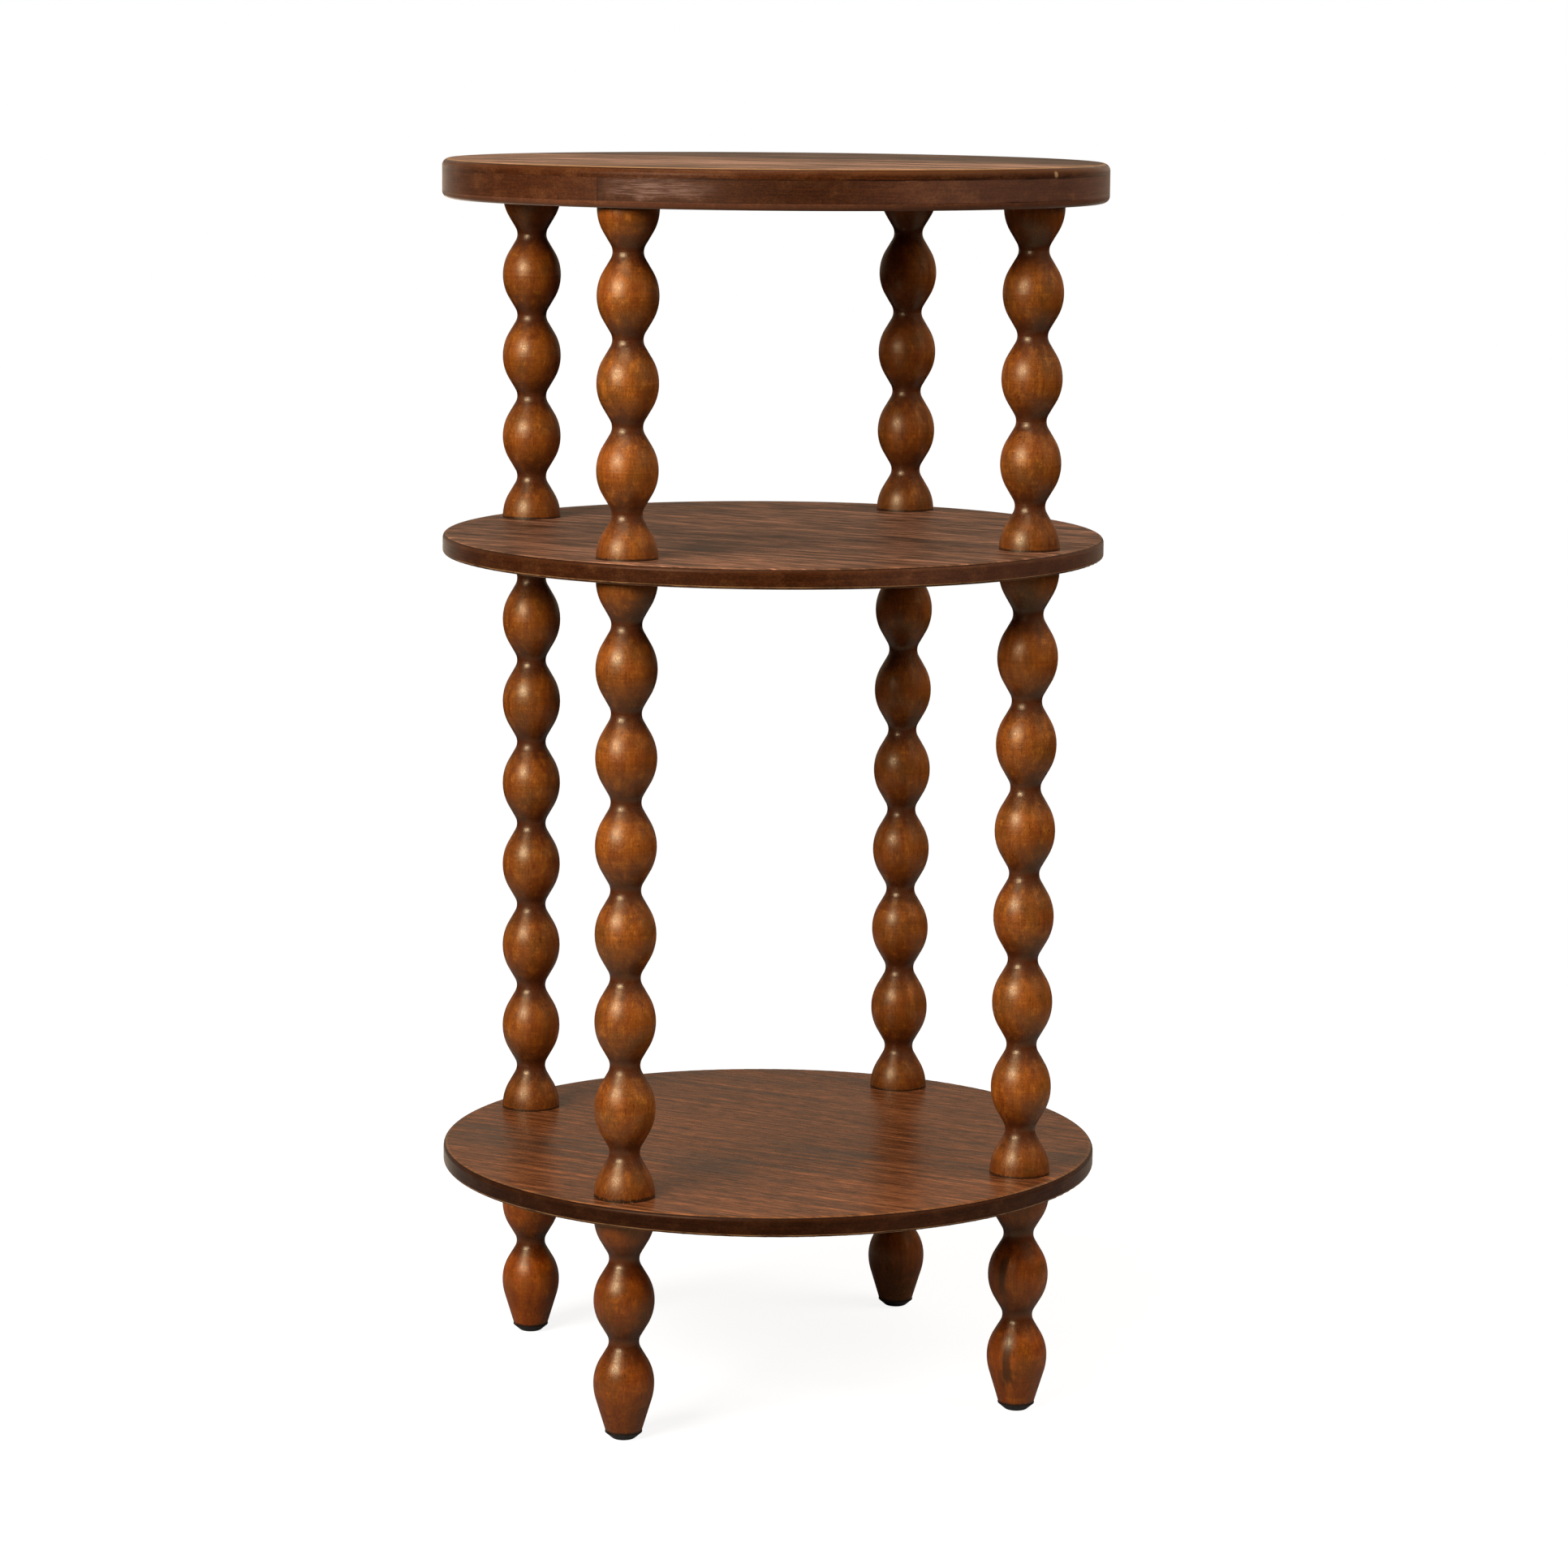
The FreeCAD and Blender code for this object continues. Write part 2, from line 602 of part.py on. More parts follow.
def glide(label, leg):
    """A plastic glide under a foot: a thin rim, a bevel and a rounded sole, moulded round a nail's head."""
    body = new_body(label)
    stand_at_leg(body, leg)
    side, floor = number("glide_diameter") / 2, number("glide_floor_diameter") / 2
    height, rounding = number("glide_height"), number("glide_floor_rounding")
    rim_level = height - number("glide_rim_height")
    shank, pocket_radius = number("nail_bore_radius"), number("nail_pocket_radius")
    sole, neck = number("glide_sole_thickness"), number("nail_neck_level")
    reach = FreeCAD.Vector(side - floor, rim_level - rounding)
    touch = math.atan2(reach.y, reach.x) - math.acos(rounding / reach.Length)
    outline = Outline(body, "glide_outline", (0, 0))
    base = outline.line(floor, 0)
    edge = outline.arc(
        (floor, rounding), (floor + rounding * math.cos(touch), rounding + rounding * math.sin(touch))
    )
    bevel = outline.line(side, rim_level, smooth=True)
    rim = outline.line(side, height)
    top = outline.line(shank, height)
    hole = outline.line(shank, neck)
    shoulder = outline.line(pocket_radius, neck)
    wall = outline.line(pocket_radius, sole)
    outline.line(0, sole)
    outline.close()
    outline.rule("PointOnObject", outline.heads[base], -1)
    outline.out("sizes.glide_floor_diameter / 2", outline.tails[base])
    outline.radius("sizes.glide_floor_rounding", edge)
    outline.out("sizes.glide_diameter / 2", outline.tails[bevel])
    outline.up("sizes.glide_rim_height", outline.tails[rim], outline.heads[rim])
    outline.up("sizes.glide_height", outline.tails[rim])
    outline.out("derived.nail_bore_radius", outline.tails[top])
    outline.up("derived.nail_neck_level", outline.tails[hole])
    outline.out("derived.nail_pocket_radius", outline.tails[shoulder])
    outline.up("sizes.glide_sole_thickness", outline.tails[wall])
    outline.turned("glide")
    nodes.append(body)


def leg_group(label, height=None):
    """A body that holds one fastener of each leg, turned so that the first leg lies along X."""
    body = new_body(label, height, LEG_ANGLES["rear_right"])
    body.AllowCompound = True
    nodes.append(body)
    return body


def nails(label):
    """The nail of each glide: a flat head in the plastic and a pointed shank in the foot."""
    body = leg_group(label)
    sole, neck = number("glide_sole_thickness"), number("nail_neck_level")
    head, shank = number("nail_head_radius"), number("nail_radius")
    tip = number("nail_tip_level")
    outline = Outline(body, "nail_outline", (0, sole), along="derived.leg_radius")
    flat = outline.line(head, sole)
    rim = outline.line(head, neck)
    outline.line(shank, neck)
    side = outline.line(shank, tip - number("nail_point_length"))
    point = outline.line(0, tip)
    outline.close()
    outline.up("sizes.glide_sole_thickness", outline.tails[flat])
    outline.out("derived.nail_head_radius", outline.tails[flat])
    outline.up("derived.nail_neck_level", outline.tails[rim])
    outline.out("derived.nail_radius", outline.tails[side])
    outline.up("sizes.nail_point_length", outline.tails[point], outline.tails[side])
    outline.up("derived.nail_tip_level", outline.tails[point])
    at_each_leg(body, outline.turned("nail"))


def hanger_bolts(label, joint_level, length):
    """Bolts whose pointed wood end is in a turned piece and whose machine end stands up out of it."""
    body = leg_group(label, f"derived.{joint_level} - sizes.bolt_wood_length")
    shank, top = number("bolt_radius"), number(length)
    chamfer = number("bolt_end_chamfer")
    outline = Outline(body, "bolt_outline", (0, 0), along="derived.leg_radius")
    point = outline.line(shank, number("bolt_point_length"))
    side = outline.line(shank, top - chamfer)
    bevel = outline.line(shank - chamfer, top)
    outline.line(0, top)
    outline.close()
    outline.rule("PointOnObject", outline.heads[point], -1)
    outline.out("derived.bolt_radius", outline.tails[point])
    outline.up("sizes.bolt_point_length", outline.tails[point])
    outline.out("sizes.bolt_end_chamfer", outline.tails[side], outline.tails[bevel])
    outline.up("sizes.bolt_end_chamfer", outline.tails[bevel], outline.tails[side])
    outline.up(bound(length), outline.tails[bevel])
    at_each_leg(body, outline.turned("bolt"))


def insert_nuts(label, level, length):
    """Threaded sleeves set flush in the lower end of a spindle or in the underside of the top."""
    body = leg_group(label, f"derived.{level}")
    inner, outer = number("bolt_bore_radius"), number("nut_radius")
    top, chamfer = number(length), number("insert_nut_chamfer")
    outline = Outline(body, "nut_outline", (inner, 0), along="derived.leg_radius")
    base = outline.line(outer - chamfer, 0)
    lower_bevel = outline.line(outer, chamfer)
    outline.line(outer, top - chamfer)
    upper_bevel = outline.line(outer - chamfer, top)
    face = outline.line(inner, top)
    outline.close(on_axis=False)
    outline.rule("PointOnObject", outline.heads[base], -1)
    outline.out("derived.bolt_bore_radius", outline.tails[face])
    outline.out("derived.nut_radius", outline.tails[lower_bevel])
    outline.out("sizes.insert_nut_chamfer", outline.tails[lower_bevel], outline.heads[lower_bevel])
    outline.out("sizes.insert_nut_chamfer", outline.heads[upper_bevel], outline.tails[upper_bevel])
    for bevel in (lower_bevel, upper_bevel):
        outline.up("sizes.insert_nut_chamfer", outline.tails[bevel], outline.heads[bevel])
    outline.up(bound(length), outline.tails[face])
    at_each_leg(body, outline.turned("nut"))


table_top()
shelf("mid_shelf")
shelf("bottom_shelf")
for leg in LEG_ANGLES:
    spindle(f"upper_spindle_{leg}", "upper", leg)
    spindle(f"lower_spindle_{leg}", "lower", leg)
    foot(f"foot_{leg}", leg)
    glide(f"glide_{leg}", leg)
nails("glide_nails")
hanger_bolts("foot_hanger_bolts", "bottom_shelf_level", "shelf_bolt_length")
hanger_bolts("mid_hanger_bolts", "mid_shelf_level", "shelf_bolt_length")
hanger_bolts("top_hanger_bolts", "top_level", "top_bolt_length")
insert_nuts("lower_spindle_insert_nuts", "lower_level", "insert_nut_length")
insert_nuts("upper_spindle_insert_nuts", "upper_level", "insert_nut_length")
insert_nuts("top_insert_nuts", "top_level", "top_nut_length")
doc.recompute()

for thing in doc.Objects:
    if {"Invalid", "Error"} & set(thing.State):
        raise ValueError(f"{thing.Label} failed: {thing.State}")
for node in nodes:
    if node.Shape.isNull() or not node.Shape.isValid():
        raise ValueError(f"{node.Label} has no valid shape")
os.makedirs("parts", exist_ok=True)
for node in nodes:
    node.Shape.exportStep(f"parts/{node.Label}.step")
    print(node.Label, len(node.Shape.Solids), round(node.Shape.Volume, 1))
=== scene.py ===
"""Looks of a tiered side table: three walnut-veneered discs on four legs of turned bobbins."""

import math

import bmesh
import bpy
from mathutils import Matrix, Vector


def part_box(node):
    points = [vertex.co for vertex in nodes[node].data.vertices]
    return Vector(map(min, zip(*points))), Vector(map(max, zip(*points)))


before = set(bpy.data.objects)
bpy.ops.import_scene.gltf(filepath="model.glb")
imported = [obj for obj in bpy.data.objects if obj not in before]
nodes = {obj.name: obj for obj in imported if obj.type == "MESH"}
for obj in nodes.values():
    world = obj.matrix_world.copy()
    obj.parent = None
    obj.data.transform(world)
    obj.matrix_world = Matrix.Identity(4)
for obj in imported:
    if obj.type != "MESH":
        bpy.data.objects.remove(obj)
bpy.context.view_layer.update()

# Lengths, heights and bump depths of the finishes are in millimetres. Angles run round the table from
# its right-hand side, negative at the front. Colours are linear red, green and blue.
MM = 0.001
LEGS = ("rear_right", "rear_left", "front_left", "front_right")
WHITE = (1.0, 1.0, 1.0)
GRAIN_TURN = math.radians(-45)
# Most values of a noise lie between these two.
SPREAD = (0.3, 0.7)
# Where the colour of a spot ends and where it is full, as shares of the spot's lengths
SPOT_ENDS = 1.0
SPOT_FULL = 0.3
# The least distance from the upright axis that a rim's normal is worked out at
NEAR_AXIS = 1.0
# The lowest and highest layer of each disc, and the roundings of its rim above and below
DISCS = {
    "top": ("top_backing_board", "top_face_veneer", 4.5, 4.0),
    "mid": ("mid_shelf_back_veneer", "mid_shelf_face_veneer", 3.0, 2.0),
    "bottom": ("bottom_shelf_back_veneer", "bottom_shelf_face_veneer", 3.0, 2.0),
}


class Graph:
    """A tree of shader nodes, and the steps that it is put together from."""

    def __init__(self, tree):
        self.tree = tree

    def node(self, kind, **settings):
        """A new node of that kind."""
        made = self.tree.nodes.new(kind)
        for name, value in settings.items():
            setattr(made, name, value)
        return made

    def feed(self, socket, value):
        """A socket takes a link from another node, or a plain value."""
        if isinstance(value, bpy.types.NodeSocket):
            self.tree.links.new(value, socket)
        elif socket.type == "RGBA":
            socket.default_value = (*value, 1.0)
        else:
            socket.default_value = value

    def maths(self, operation, *values):
        """One step of arithmetic."""
        made = self.node("ShaderNodeMath", operation=operation)
        for socket, value in zip(made.inputs, values):
            self.feed(socket, value)
        return made.outputs["Value"]

    def plus(self, first, second):
        return self.maths("ADD", first, second)

    def minus(self, first, second):
        return self.maths("SUBTRACT", first, second)

    def larger(self, first, second):
        return self.maths("MAXIMUM", first, second)

    def times(self, *values):
        product = values[0]
        for value in values[1:]:
            product = self.maths("MULTIPLY", product, value)
        return product

    def limited(self, value):
        """The value, kept between nought and one."""
        return self.maths("MINIMUM", self.larger(value, 0.0), 1.0)

    def split(self, vector):
        """The three parts of a vector."""
        made = self.node("ShaderNodeSeparateXYZ")
        self.feed(made.inputs["Vector"], vector)
        return made.outputs["X"], made.outputs["Y"], made.outputs["Z"]

    def reach(self, x, y):
        """Distance from the upright axis."""
        return self.maths("SQRT", self.plus(self.times(x, x), self.times(y, y)))

    def ramp(self, value, start, end, low=0.0, high=1.0):
        """A smooth change from low to high while the value goes from start to end."""
        made = self.node("ShaderNodeMapRange", interpolation_type="SMOOTHSTEP")
        for socket, number in zip(made.inputs, (value, start, end, low, high)):
            self.feed(socket, number)
        return made.outputs["Result"]

    def band(self, value, start, end, soft):
        """One inside a band of values and nought outside it, with soft sides."""
        rise = self.ramp(value, start - soft, start + soft)
        fall = self.ramp(value, end + soft, end - soft)
        return self.times(rise, fall)

    def mix(self, share, first, second):
        """The first colour with a share of the second over it."""
        made = self.node("ShaderNodeMix", data_type="RGBA")
        colours = [socket for socket in made.inputs if socket.type == "RGBA"]
        self.feed(made.inputs[0], share)
        self.feed(colours[0], first)
        self.feed(colours[1], second)
        return next(socket for socket in made.outputs if socket.type == "RGBA")

    def dim(self, colour, factor):
        """A colour made paler or darker."""
        made = self.node("ShaderNodeVectorMath", operation="SCALE")
        self.feed(made.inputs[0], colour)
        self.feed(made.inputs["Scale"], factor)
        return made.outputs["Vector"]

    def tinted(self, colour, tone):
        """A colour times a tone in red, green and blue."""
        made = self.node("ShaderNodeVectorMath", operation="MULTIPLY")
        self.feed(made.inputs[0], colour)
        self.feed(made.inputs[1], tone)
        return made.outputs["Vector"]


class Finish(Graph):
    """A procedural material: one shader, its noises, and the colour that is built up in layers."""

    def __init__(self, name, specular=0.5, tint=WHITE, metallic=0.0):
        self.material = bpy.data.materials.new(name)
        self.material.use_nodes = True
        super().__init__(self.material.node_tree)
        self.shader = self.tree.nodes["Principled BSDF"]
        self.shader.inputs["Specular IOR Level"].default_value = specular
        self.shader.inputs["Specular Tint"].default_value = (*tint, 1.0)
        self.shader.inputs["Metallic"].default_value = metallic
        self.place = self.dim(self.node("ShaderNodeTexCoord").outputs["Object"], 1.0 / MM)
        self.noises = {}
        self.colour = None

    def measured_from(self, x, y):
        """Moves the upright axis that the finish is measured from."""
        made = self.node("ShaderNodeVectorMath", operation="SUBTRACT")
        self.feed(made.inputs[0], self.place)
        self.feed(made.inputs[1], (x, y, 0.0))
        self.place = made.outputs["Vector"]

    def axes(self):
        """The place as its distances to the right, to the back and upwards."""
        return self.split(self.place)

    def stretched(self, lengths, turn=0.0, middle=(0.0, 0.0, 0.0)):
        """The place measured from a middle in cells of those lengths along, across and upwards."""
        made = self.node("ShaderNodeMapping", vector_type="TEXTURE")
        self.feed(made.inputs["Vector"], self.place)
        self.feed(made.inputs["Location"], middle)
        self.feed(made.inputs["Rotation"], (0.0, 0.0, turn))
        self.feed(made.inputs["Scale"], lengths)
        return made.outputs["Vector"]

    def noise(self, lengths, seed=0.0, shift=0.0, turn=0.0, detail=2.0, rough=0.5, bend=0.0):
        """A noise in cells of those lengths; each shift of a seed gives another one."""
        made = self.node("ShaderNodeTexNoise", noise_dimensions="4D")
        self.feed(made.inputs["Vector"], self.stretched(lengths, turn))
        self.feed(made.inputs["W"], seed + shift)
        self.feed(made.inputs["Scale"], 1.0)
        self.feed(made.inputs["Detail"], detail)
        self.feed(made.inputs["Roughness"], rough)
        self.feed(made.inputs["Distortion"], bend)
        return made.outputs["Fac"]

    def by(self, name, *ramp):
        """A ramp over one of the finish's noises."""
        return self.ramp(self.noises[name], *ramp)

    def tint(self, share, colour):
        """Lays a share of another colour over the colour so far."""
        self.colour = self.mix(share, self.colour, colour)

    def shade(self, factor):
        """Makes the colour so far paler or darker."""
        self.colour = self.dim(self.colour, factor)

    def spot(self, middle, lengths, turn=0.0, fray=None):
        """One in the middle of an oval and nought outside it; fray roughens its outline."""
        made = self.node("ShaderNodeVectorMath", operation="LENGTH")
        self.feed(made.inputs[0], self.stretched(lengths, turn, middle))
        away = made.outputs["Value"]
        if fray:
            away = self.plus(away, fray)
        return self.ramp(away, SPOT_ENDS, SPOT_FULL)

    def rounded(self, x, y, z, above, below):
        """The smooth normal of a disc with a rounded rim.

        Above and below give the level of each face of the disc and its rounding radius.
        """
        top, top_radius = above
        bottom, bottom_radius = below
        up = self.maths("DIVIDE", self.minus(z, top - top_radius), top_radius)
        down = self.maths("DIVIDE", self.minus(bottom + bottom_radius, z), bottom_radius)
        rise = self.minus(self.limited(up), self.limited(down))
        lean = self.maths("SQRT", self.limited(self.minus(1.0, self.times(rise, rise))))
        share = self.maths("DIVIDE", lean, self.larger(self.reach(x, y), NEAR_AXIS))
        made = self.node("ShaderNodeCombineXYZ")
        self.feed(made.inputs["X"], self.times(x, share))
        self.feed(made.inputs["Y"], self.times(y, share))
        self.feed(made.inputs["Z"], rise)
        return made.outputs["Vector"]

    def bump(self, height, depth, under=None):
        """Relief of that depth, laid over the normal under it."""
        made = self.node("ShaderNodeBump")
        self.feed(made.inputs["Height"], height)
        self.feed(made.inputs["Distance"], depth * MM)
        if under:
            self.feed(made.inputs["Normal"], under)
        return made.outputs["Normal"]

    def done(self, roughness, normal):
        """Feeds the shader and gives the material."""
        self.feed(self.shader.inputs["Base Color"], self.colour)
        self.feed(self.shader.inputs["Roughness"], roughness)
        self.feed(self.shader.inputs["Normal"], normal)
        return self.material


def dress(node, material):
    """Gives a node's surface its material."""
    thing = nodes[node]
    for place in thing.material_slots:
        place.material = material


def heights(node):
    """The lowest and highest level of a node."""
    low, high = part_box(node)
    return low.z / MM, high.z / MM


def disc_faces(node):
    """The upper and lower face of the disc that a layer belongs to: each one's level and rounding."""
    lowest, highest, above, below = DISCS[node.split("_")[0]]
    return (heights(highest)[1], above), (heights(lowest)[0], below)


# Turned wood: amber stain under satin lacquer, darker towards the necks
AMBER_PALE = (0.545, 0.168, 0.018)
AMBER = (0.380, 0.096, 0.007)
AMBER_RED = (0.255, 0.051, 0.004)
AMBER_OLIVE = (0.225, 0.070, 0.010)
NECK = (0.080, 0.017, 0.005)
CONTACT_SHADE_AND_GLUE = (0.016, 0.006, 0.003)
MINERAL = (0.060, 0.018, 0.012)
WOOD_PIT = (0.030, 0.009, 0.004)
WOOD_CHIP = (0.60, 0.34, 0.15)
LACQUER = (1.0, 0.78, 0.48)
LACQUER_GLOSS = 0.85

# Cells of each noise: two lengths across a turned piece and one along it
WOOD_NOISES = {
    "fibre": {"lengths": (0.9, 0.9, 18.0), "shift": 0.0, "detail": 3.0, "rough": 0.6},
    "blotch": {"lengths": (15.0, 15.0, 20.0), "shift": 0.2, "detail": 3.0, "rough": 0.6},
    "mottle": {"lengths": (4.5, 4.5, 6.5), "shift": 0.3, "detail": 5.0, "rough": 0.7},
    "grit": {"lengths": (0.55, 0.55, 0.7), "shift": 0.4},
    "pits": {"lengths": (0.5, 0.5, 2.4), "shift": 0.5, "detail": 1.0},
    "chips": {"lengths": (1.5, 1.5, 1.0), "shift": 0.6},
    "lathe": {"lengths": (40.0, 40.0, 0.8), "shift": 0.7, "detail": 3.0, "rough": 0.6},
    "lines": {"lengths": (1.2, 1.2, 26.0), "shift": 0.8, "detail": 1.0},
    "specks": {"lengths": (1.4, 1.4, 1.3), "shift": 0.9, "detail": 1.0},
}
WOOD_FIGURE = {"lengths": (4.0, 9.0, 45.0), "shift": 0.1, "detail": 4.0, "rough": 0.55, "bend": 0.5}
# Each piece has its figure turned by this many radians more.
WOOD_FIGURE_TURN = 0.7

# Ramps over those noises: where each starts and ends, and what it gives there
AMBER_RAMP = (0.30, 0.66)
WOOD_TINTS = (
    ("blotch", (0.56, 0.34, 0.0, 0.8), AMBER_OLIVE),
    ("mottle", (0.48, 0.72, 0.0, 0.8), AMBER_PALE),
)
WOOD_FIBRE_RAMP = (0.28, 0.74)
WOOD_FIBRE_SHADES = (0.84, 1.14)
WOOD_SHADES = (
    ("grit", (0.25, 0.75, 0.78, 1.20)),
    ("lathe", (0.30, 0.70, 0.86, 1.10)),
    ("lines", (0.67, 0.74, 1.0, 0.55)),
)
PIT_RAMP = (0.67, 0.75)
PIT_SHARE = 0.6
SPECK_RAMP = (0.64, 0.72)
CLUSTER_RAMP = (0.52, 0.64)
CLUSTER_SHARE = 0.75
CHIP_RAMP = (0.775, 0.80, 0.0, 0.85)

# Necks, which the stain gathers in, down to the taper of the feet
NECK_RADIUS = 9.2
NECK_CLEAR_RADIUS = 16.4
NECK_UNEVEN = (-1.2, 1.2)
NECK_SHARE = 0.9
NECK_POLISH = -0.04
FOOT_TAPER_TOP = 50.0
FOOT_TAPER_CLEAR = 40.0
FOOT_STAIN = (1.0, 0.78, 0.25)

# Painted shade on the undersides of the beads, by how far the surface faces up, and the lowest stretch of
# each spindle, darker towards the bottom
UNDERSIDE_SHADE_RAMP = (0.05, -0.45)
UNDERSIDE_PAINTED_SHADE = 0.68
BASE_DARKENING = 0.56
BASE_HEIGHT = 26.0

# Mineral streaks in one foot, as ovals from its axis
MINERAL_STREAKS = {
    "foot_front_right": (
        ((-10.8, -12.9, 33.0), (5.2, 5.2, 36.0)),
        ((-13.9, -10.6, 90.0), (5.0, 5.0, 30.0)),
    ),
}
MINERAL_FRAY = (-0.25, 0.25)
MINERAL_SHARE = 0.85

# Dark lines where a piece meets the boards, which are painted contact shade, and the real glue under one
# spindle
GLUED_BASE = "lower_spindle_front_left"
GLUE_RISE = (0.6, 2.2)
CONTACT_RISE = (0.6, 1.2)
BASE_CLEAR = 0.8
BASE_FULL = 0.2
CROWN_CLEAR = 1.4
CROWN_FULL = 0.2
CONTACT_SHARE = 0.92
CRUMB_RAMP = (0.66, 0.70)
CRUMBS_CLEAR = 3.0
CRUMBS_FULL = 2.0
CRUMB_SHARE = 0.9

# Roughness and relief of the lacquered wood
LACQUER_ROUGHNESS = (0.36, 0.64, 0.30, 0.46)
BLOTCH_ROUGHNESS = (-0.03, 0.04)
PIT_SINK = 0.8
GRIT_DEPTH = 0.025
FIBRE_DEPTH = 0.03
LATHE_DEPTH = 0.03


def turned_wood(node, seed, tone):
    """Stained and lacquered wood, measured from the axis that the piece is turned round."""
    low, high = heights(node)
    corner, far_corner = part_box(node)
    axis = (corner + far_corner) / 2 / MM
    is_foot = node.startswith("foot")
    f = Finish(f"{node}_wood", LACQUER_GLOSS, LACQUER)
    f.measured_from(axis.x, axis.y)
    x, y, z = f.axes()
    for name, values in WOOD_NOISES.items():
        f.noises[name] = f.noise(seed=seed, **values)
    f.noises["figure"] = f.noise(seed=seed, turn=WOOD_FIGURE_TURN * seed, **WOOD_FIGURE)

    f.colour = f.mix(f.by("figure", *AMBER_RAMP), AMBER_RED, AMBER)
    for name, ramp, colour in WOOD_TINTS:
        f.tint(f.by(name, *ramp), colour)
    f.shade(f.by("fibre", *WOOD_FIBRE_RAMP, *(shade * tone for shade in WOOD_FIBRE_SHADES)))
    for name, ramp in WOOD_SHADES:
        f.shade(f.by(name, *ramp))

    uneven = f.plus(f.reach(x, y), f.by("mottle", *SPREAD, *NECK_UNEVEN))
    neck = f.ramp(uneven, NECK_CLEAR_RADIUS, NECK_RADIUS)
    f.tint(f.times(neck, f.ramp(z, FOOT_TAPER_CLEAR, FOOT_TAPER_TOP), NECK_SHARE), NECK)
    # Painted shade: surfaces that face downwards are darker
    facing_up = f.split(f.node("ShaderNodeNewGeometry").outputs["Normal"])[2]
    f.shade(f.ramp(facing_up, *UNDERSIDE_SHADE_RAMP, 1.0, UNDERSIDE_PAINTED_SHADE))
    # Every spindle, but not a foot, is darker towards its bottom
    if not is_foot:
        f.shade(f.ramp(z, low + BASE_HEIGHT, low, 1.0, BASE_DARKENING))

    open_pits = f.by("pits", *PIT_RAMP)
    f.tint(f.times(open_pits, PIT_SHARE), WOOD_PIT)
    clusters = f.times(f.by("specks", *SPECK_RAMP), f.by("blotch", *CLUSTER_RAMP))
    f.tint(f.times(clusters, CLUSTER_SHARE), WOOD_PIT)
    f.tint(f.by("chips", *CHIP_RAMP), WOOD_CHIP)
    for middle, lengths in MINERAL_STREAKS.get(node, ()):
        streak = f.spot(middle, lengths, fray=f.by("figure", *SPREAD, *MINERAL_FRAY))
        f.tint(f.times(streak, MINERAL_SHARE), MINERAL)
    if is_foot:
        f.colour = f.tinted(f.colour, FOOT_STAIN)

    # Painted contact shade at the base and the crown; under the glued spindle the base line is taller, as
    # glue
    glued = node == GLUED_BASE
    ragged = f.by("specks", *SPREAD, *(GLUE_RISE if glued else CONTACT_RISE))
    base = f.ramp(f.minus(z, ragged), low + BASE_CLEAR, low - BASE_FULL)
    crown = f.ramp(z, high - CROWN_CLEAR, high - CROWN_FULL)
    f.tint(f.times(f.larger(base, crown), CONTACT_SHARE), CONTACT_SHADE_AND_GLUE)
    if glued:
        crumbs = f.times(f.by("chips", *CRUMB_RAMP), f.ramp(z, low + CRUMBS_CLEAR, low + CRUMBS_FULL))
        f.tint(f.times(crumbs, CRUMB_SHARE), WOOD_CHIP)

    roughness = f.plus(f.by("grit", *LACQUER_ROUGHNESS), f.by("blotch", *SPREAD, *BLOTCH_ROUGHNESS))
    roughness = f.plus(roughness, f.times(neck, NECK_POLISH))
    normal = f.bump(f.minus(f.noises["grit"], f.times(open_pits, PIT_SINK)), GRIT_DEPTH)
    normal = f.bump(f.noises["fibre"], FIBRE_DEPTH, normal)
    normal = f.bump(f.noises["lathe"], LATHE_DEPTH, normal)
    return f.done(roughness, normal)


# Walnut veneer: brown, with dark streaks, open pores and dark patches along the grain
WALNUT_PALE = (0.470, 0.230, 0.135)
WALNUT = (0.280, 0.120, 0.060)
WALNUT_DARK = (0.085, 0.034, 0.016)
WALNUT_PORE = (0.030, 0.013, 0.007)
WALNUT_DARK_PATCH = (0.075, 0.042, 0.028)
WALNUT_HEART = (0.34, 0.38, 0.42)
VENEER_CUT = (0.500, 0.260, 0.110)
VENEER_GLOSS = 0.3
VENEER_SHINE = (1.0, 0.90, 0.80)

# Each face: its tone and roughness, how much of its cut edge shows, the length and width of its figure,
# the size and depth of its dashes, how dark its heartwood is, and the ovals of its dark patches
VENEER = {
    "top_face_veneer": {
        "tone": (1.22, 1.34, 1.48),
        "rough": 0.40,
        "cut": 0.9,
        "length": 280.0,
        "width": 15.0,
        "dash": 15.0,
        "depth": 0.62,
        "heart": 0.9,
        "dark_patches": (
            ((34.0, 34.0, 0.0), (190.0, 18.0, 400.0)),
            ((90.0, 90.0, 0.0), (150.0, 40.0, 400.0)),
        ),
    },
    "mid_shelf_face_veneer": {
        "tone": (0.98, 0.93, 0.92),
        "rough": 0.44,
        "cut": 0.12,
        "length": 200.0,
        "width": 8.0,
        "dash": 6.5,
        "depth": 0.62,
        "heart": 0.0,
        "dark_patches": (
            ((-7.0, -24.0, 0.0), (80.0, 34.0, 400.0)),
            ((-85.0, -95.0, 0.0), (46.0, 20.0, 400.0)),
        ),
    },
    "bottom_shelf_face_veneer": {
        "tone": (0.81, 0.56, 0.34),
        "rough": 0.27,
        "cut": 0.2,
        "length": 180.0,
        "width": 4.0,
        "dash": 2.6,
        "depth": 0.36,
        "heart": 0.0,
        "dark_patches": (
            ((-46.0, -70.0, 0.0), (40.0, 30.0, 400.0)),
            ((17.0, -31.0, 0.0), (75.0, 26.0, 400.0)),
            ((95.0, -92.0, 0.0), (60.0, 14.0, 400.0)),
            ((167.0, -89.0, 0.0), (40.0, 16.0, 400.0)),
            ((-160.0, 30.0, 0.0), (110.0, 60.0, 400.0)),
        ),
    },
}

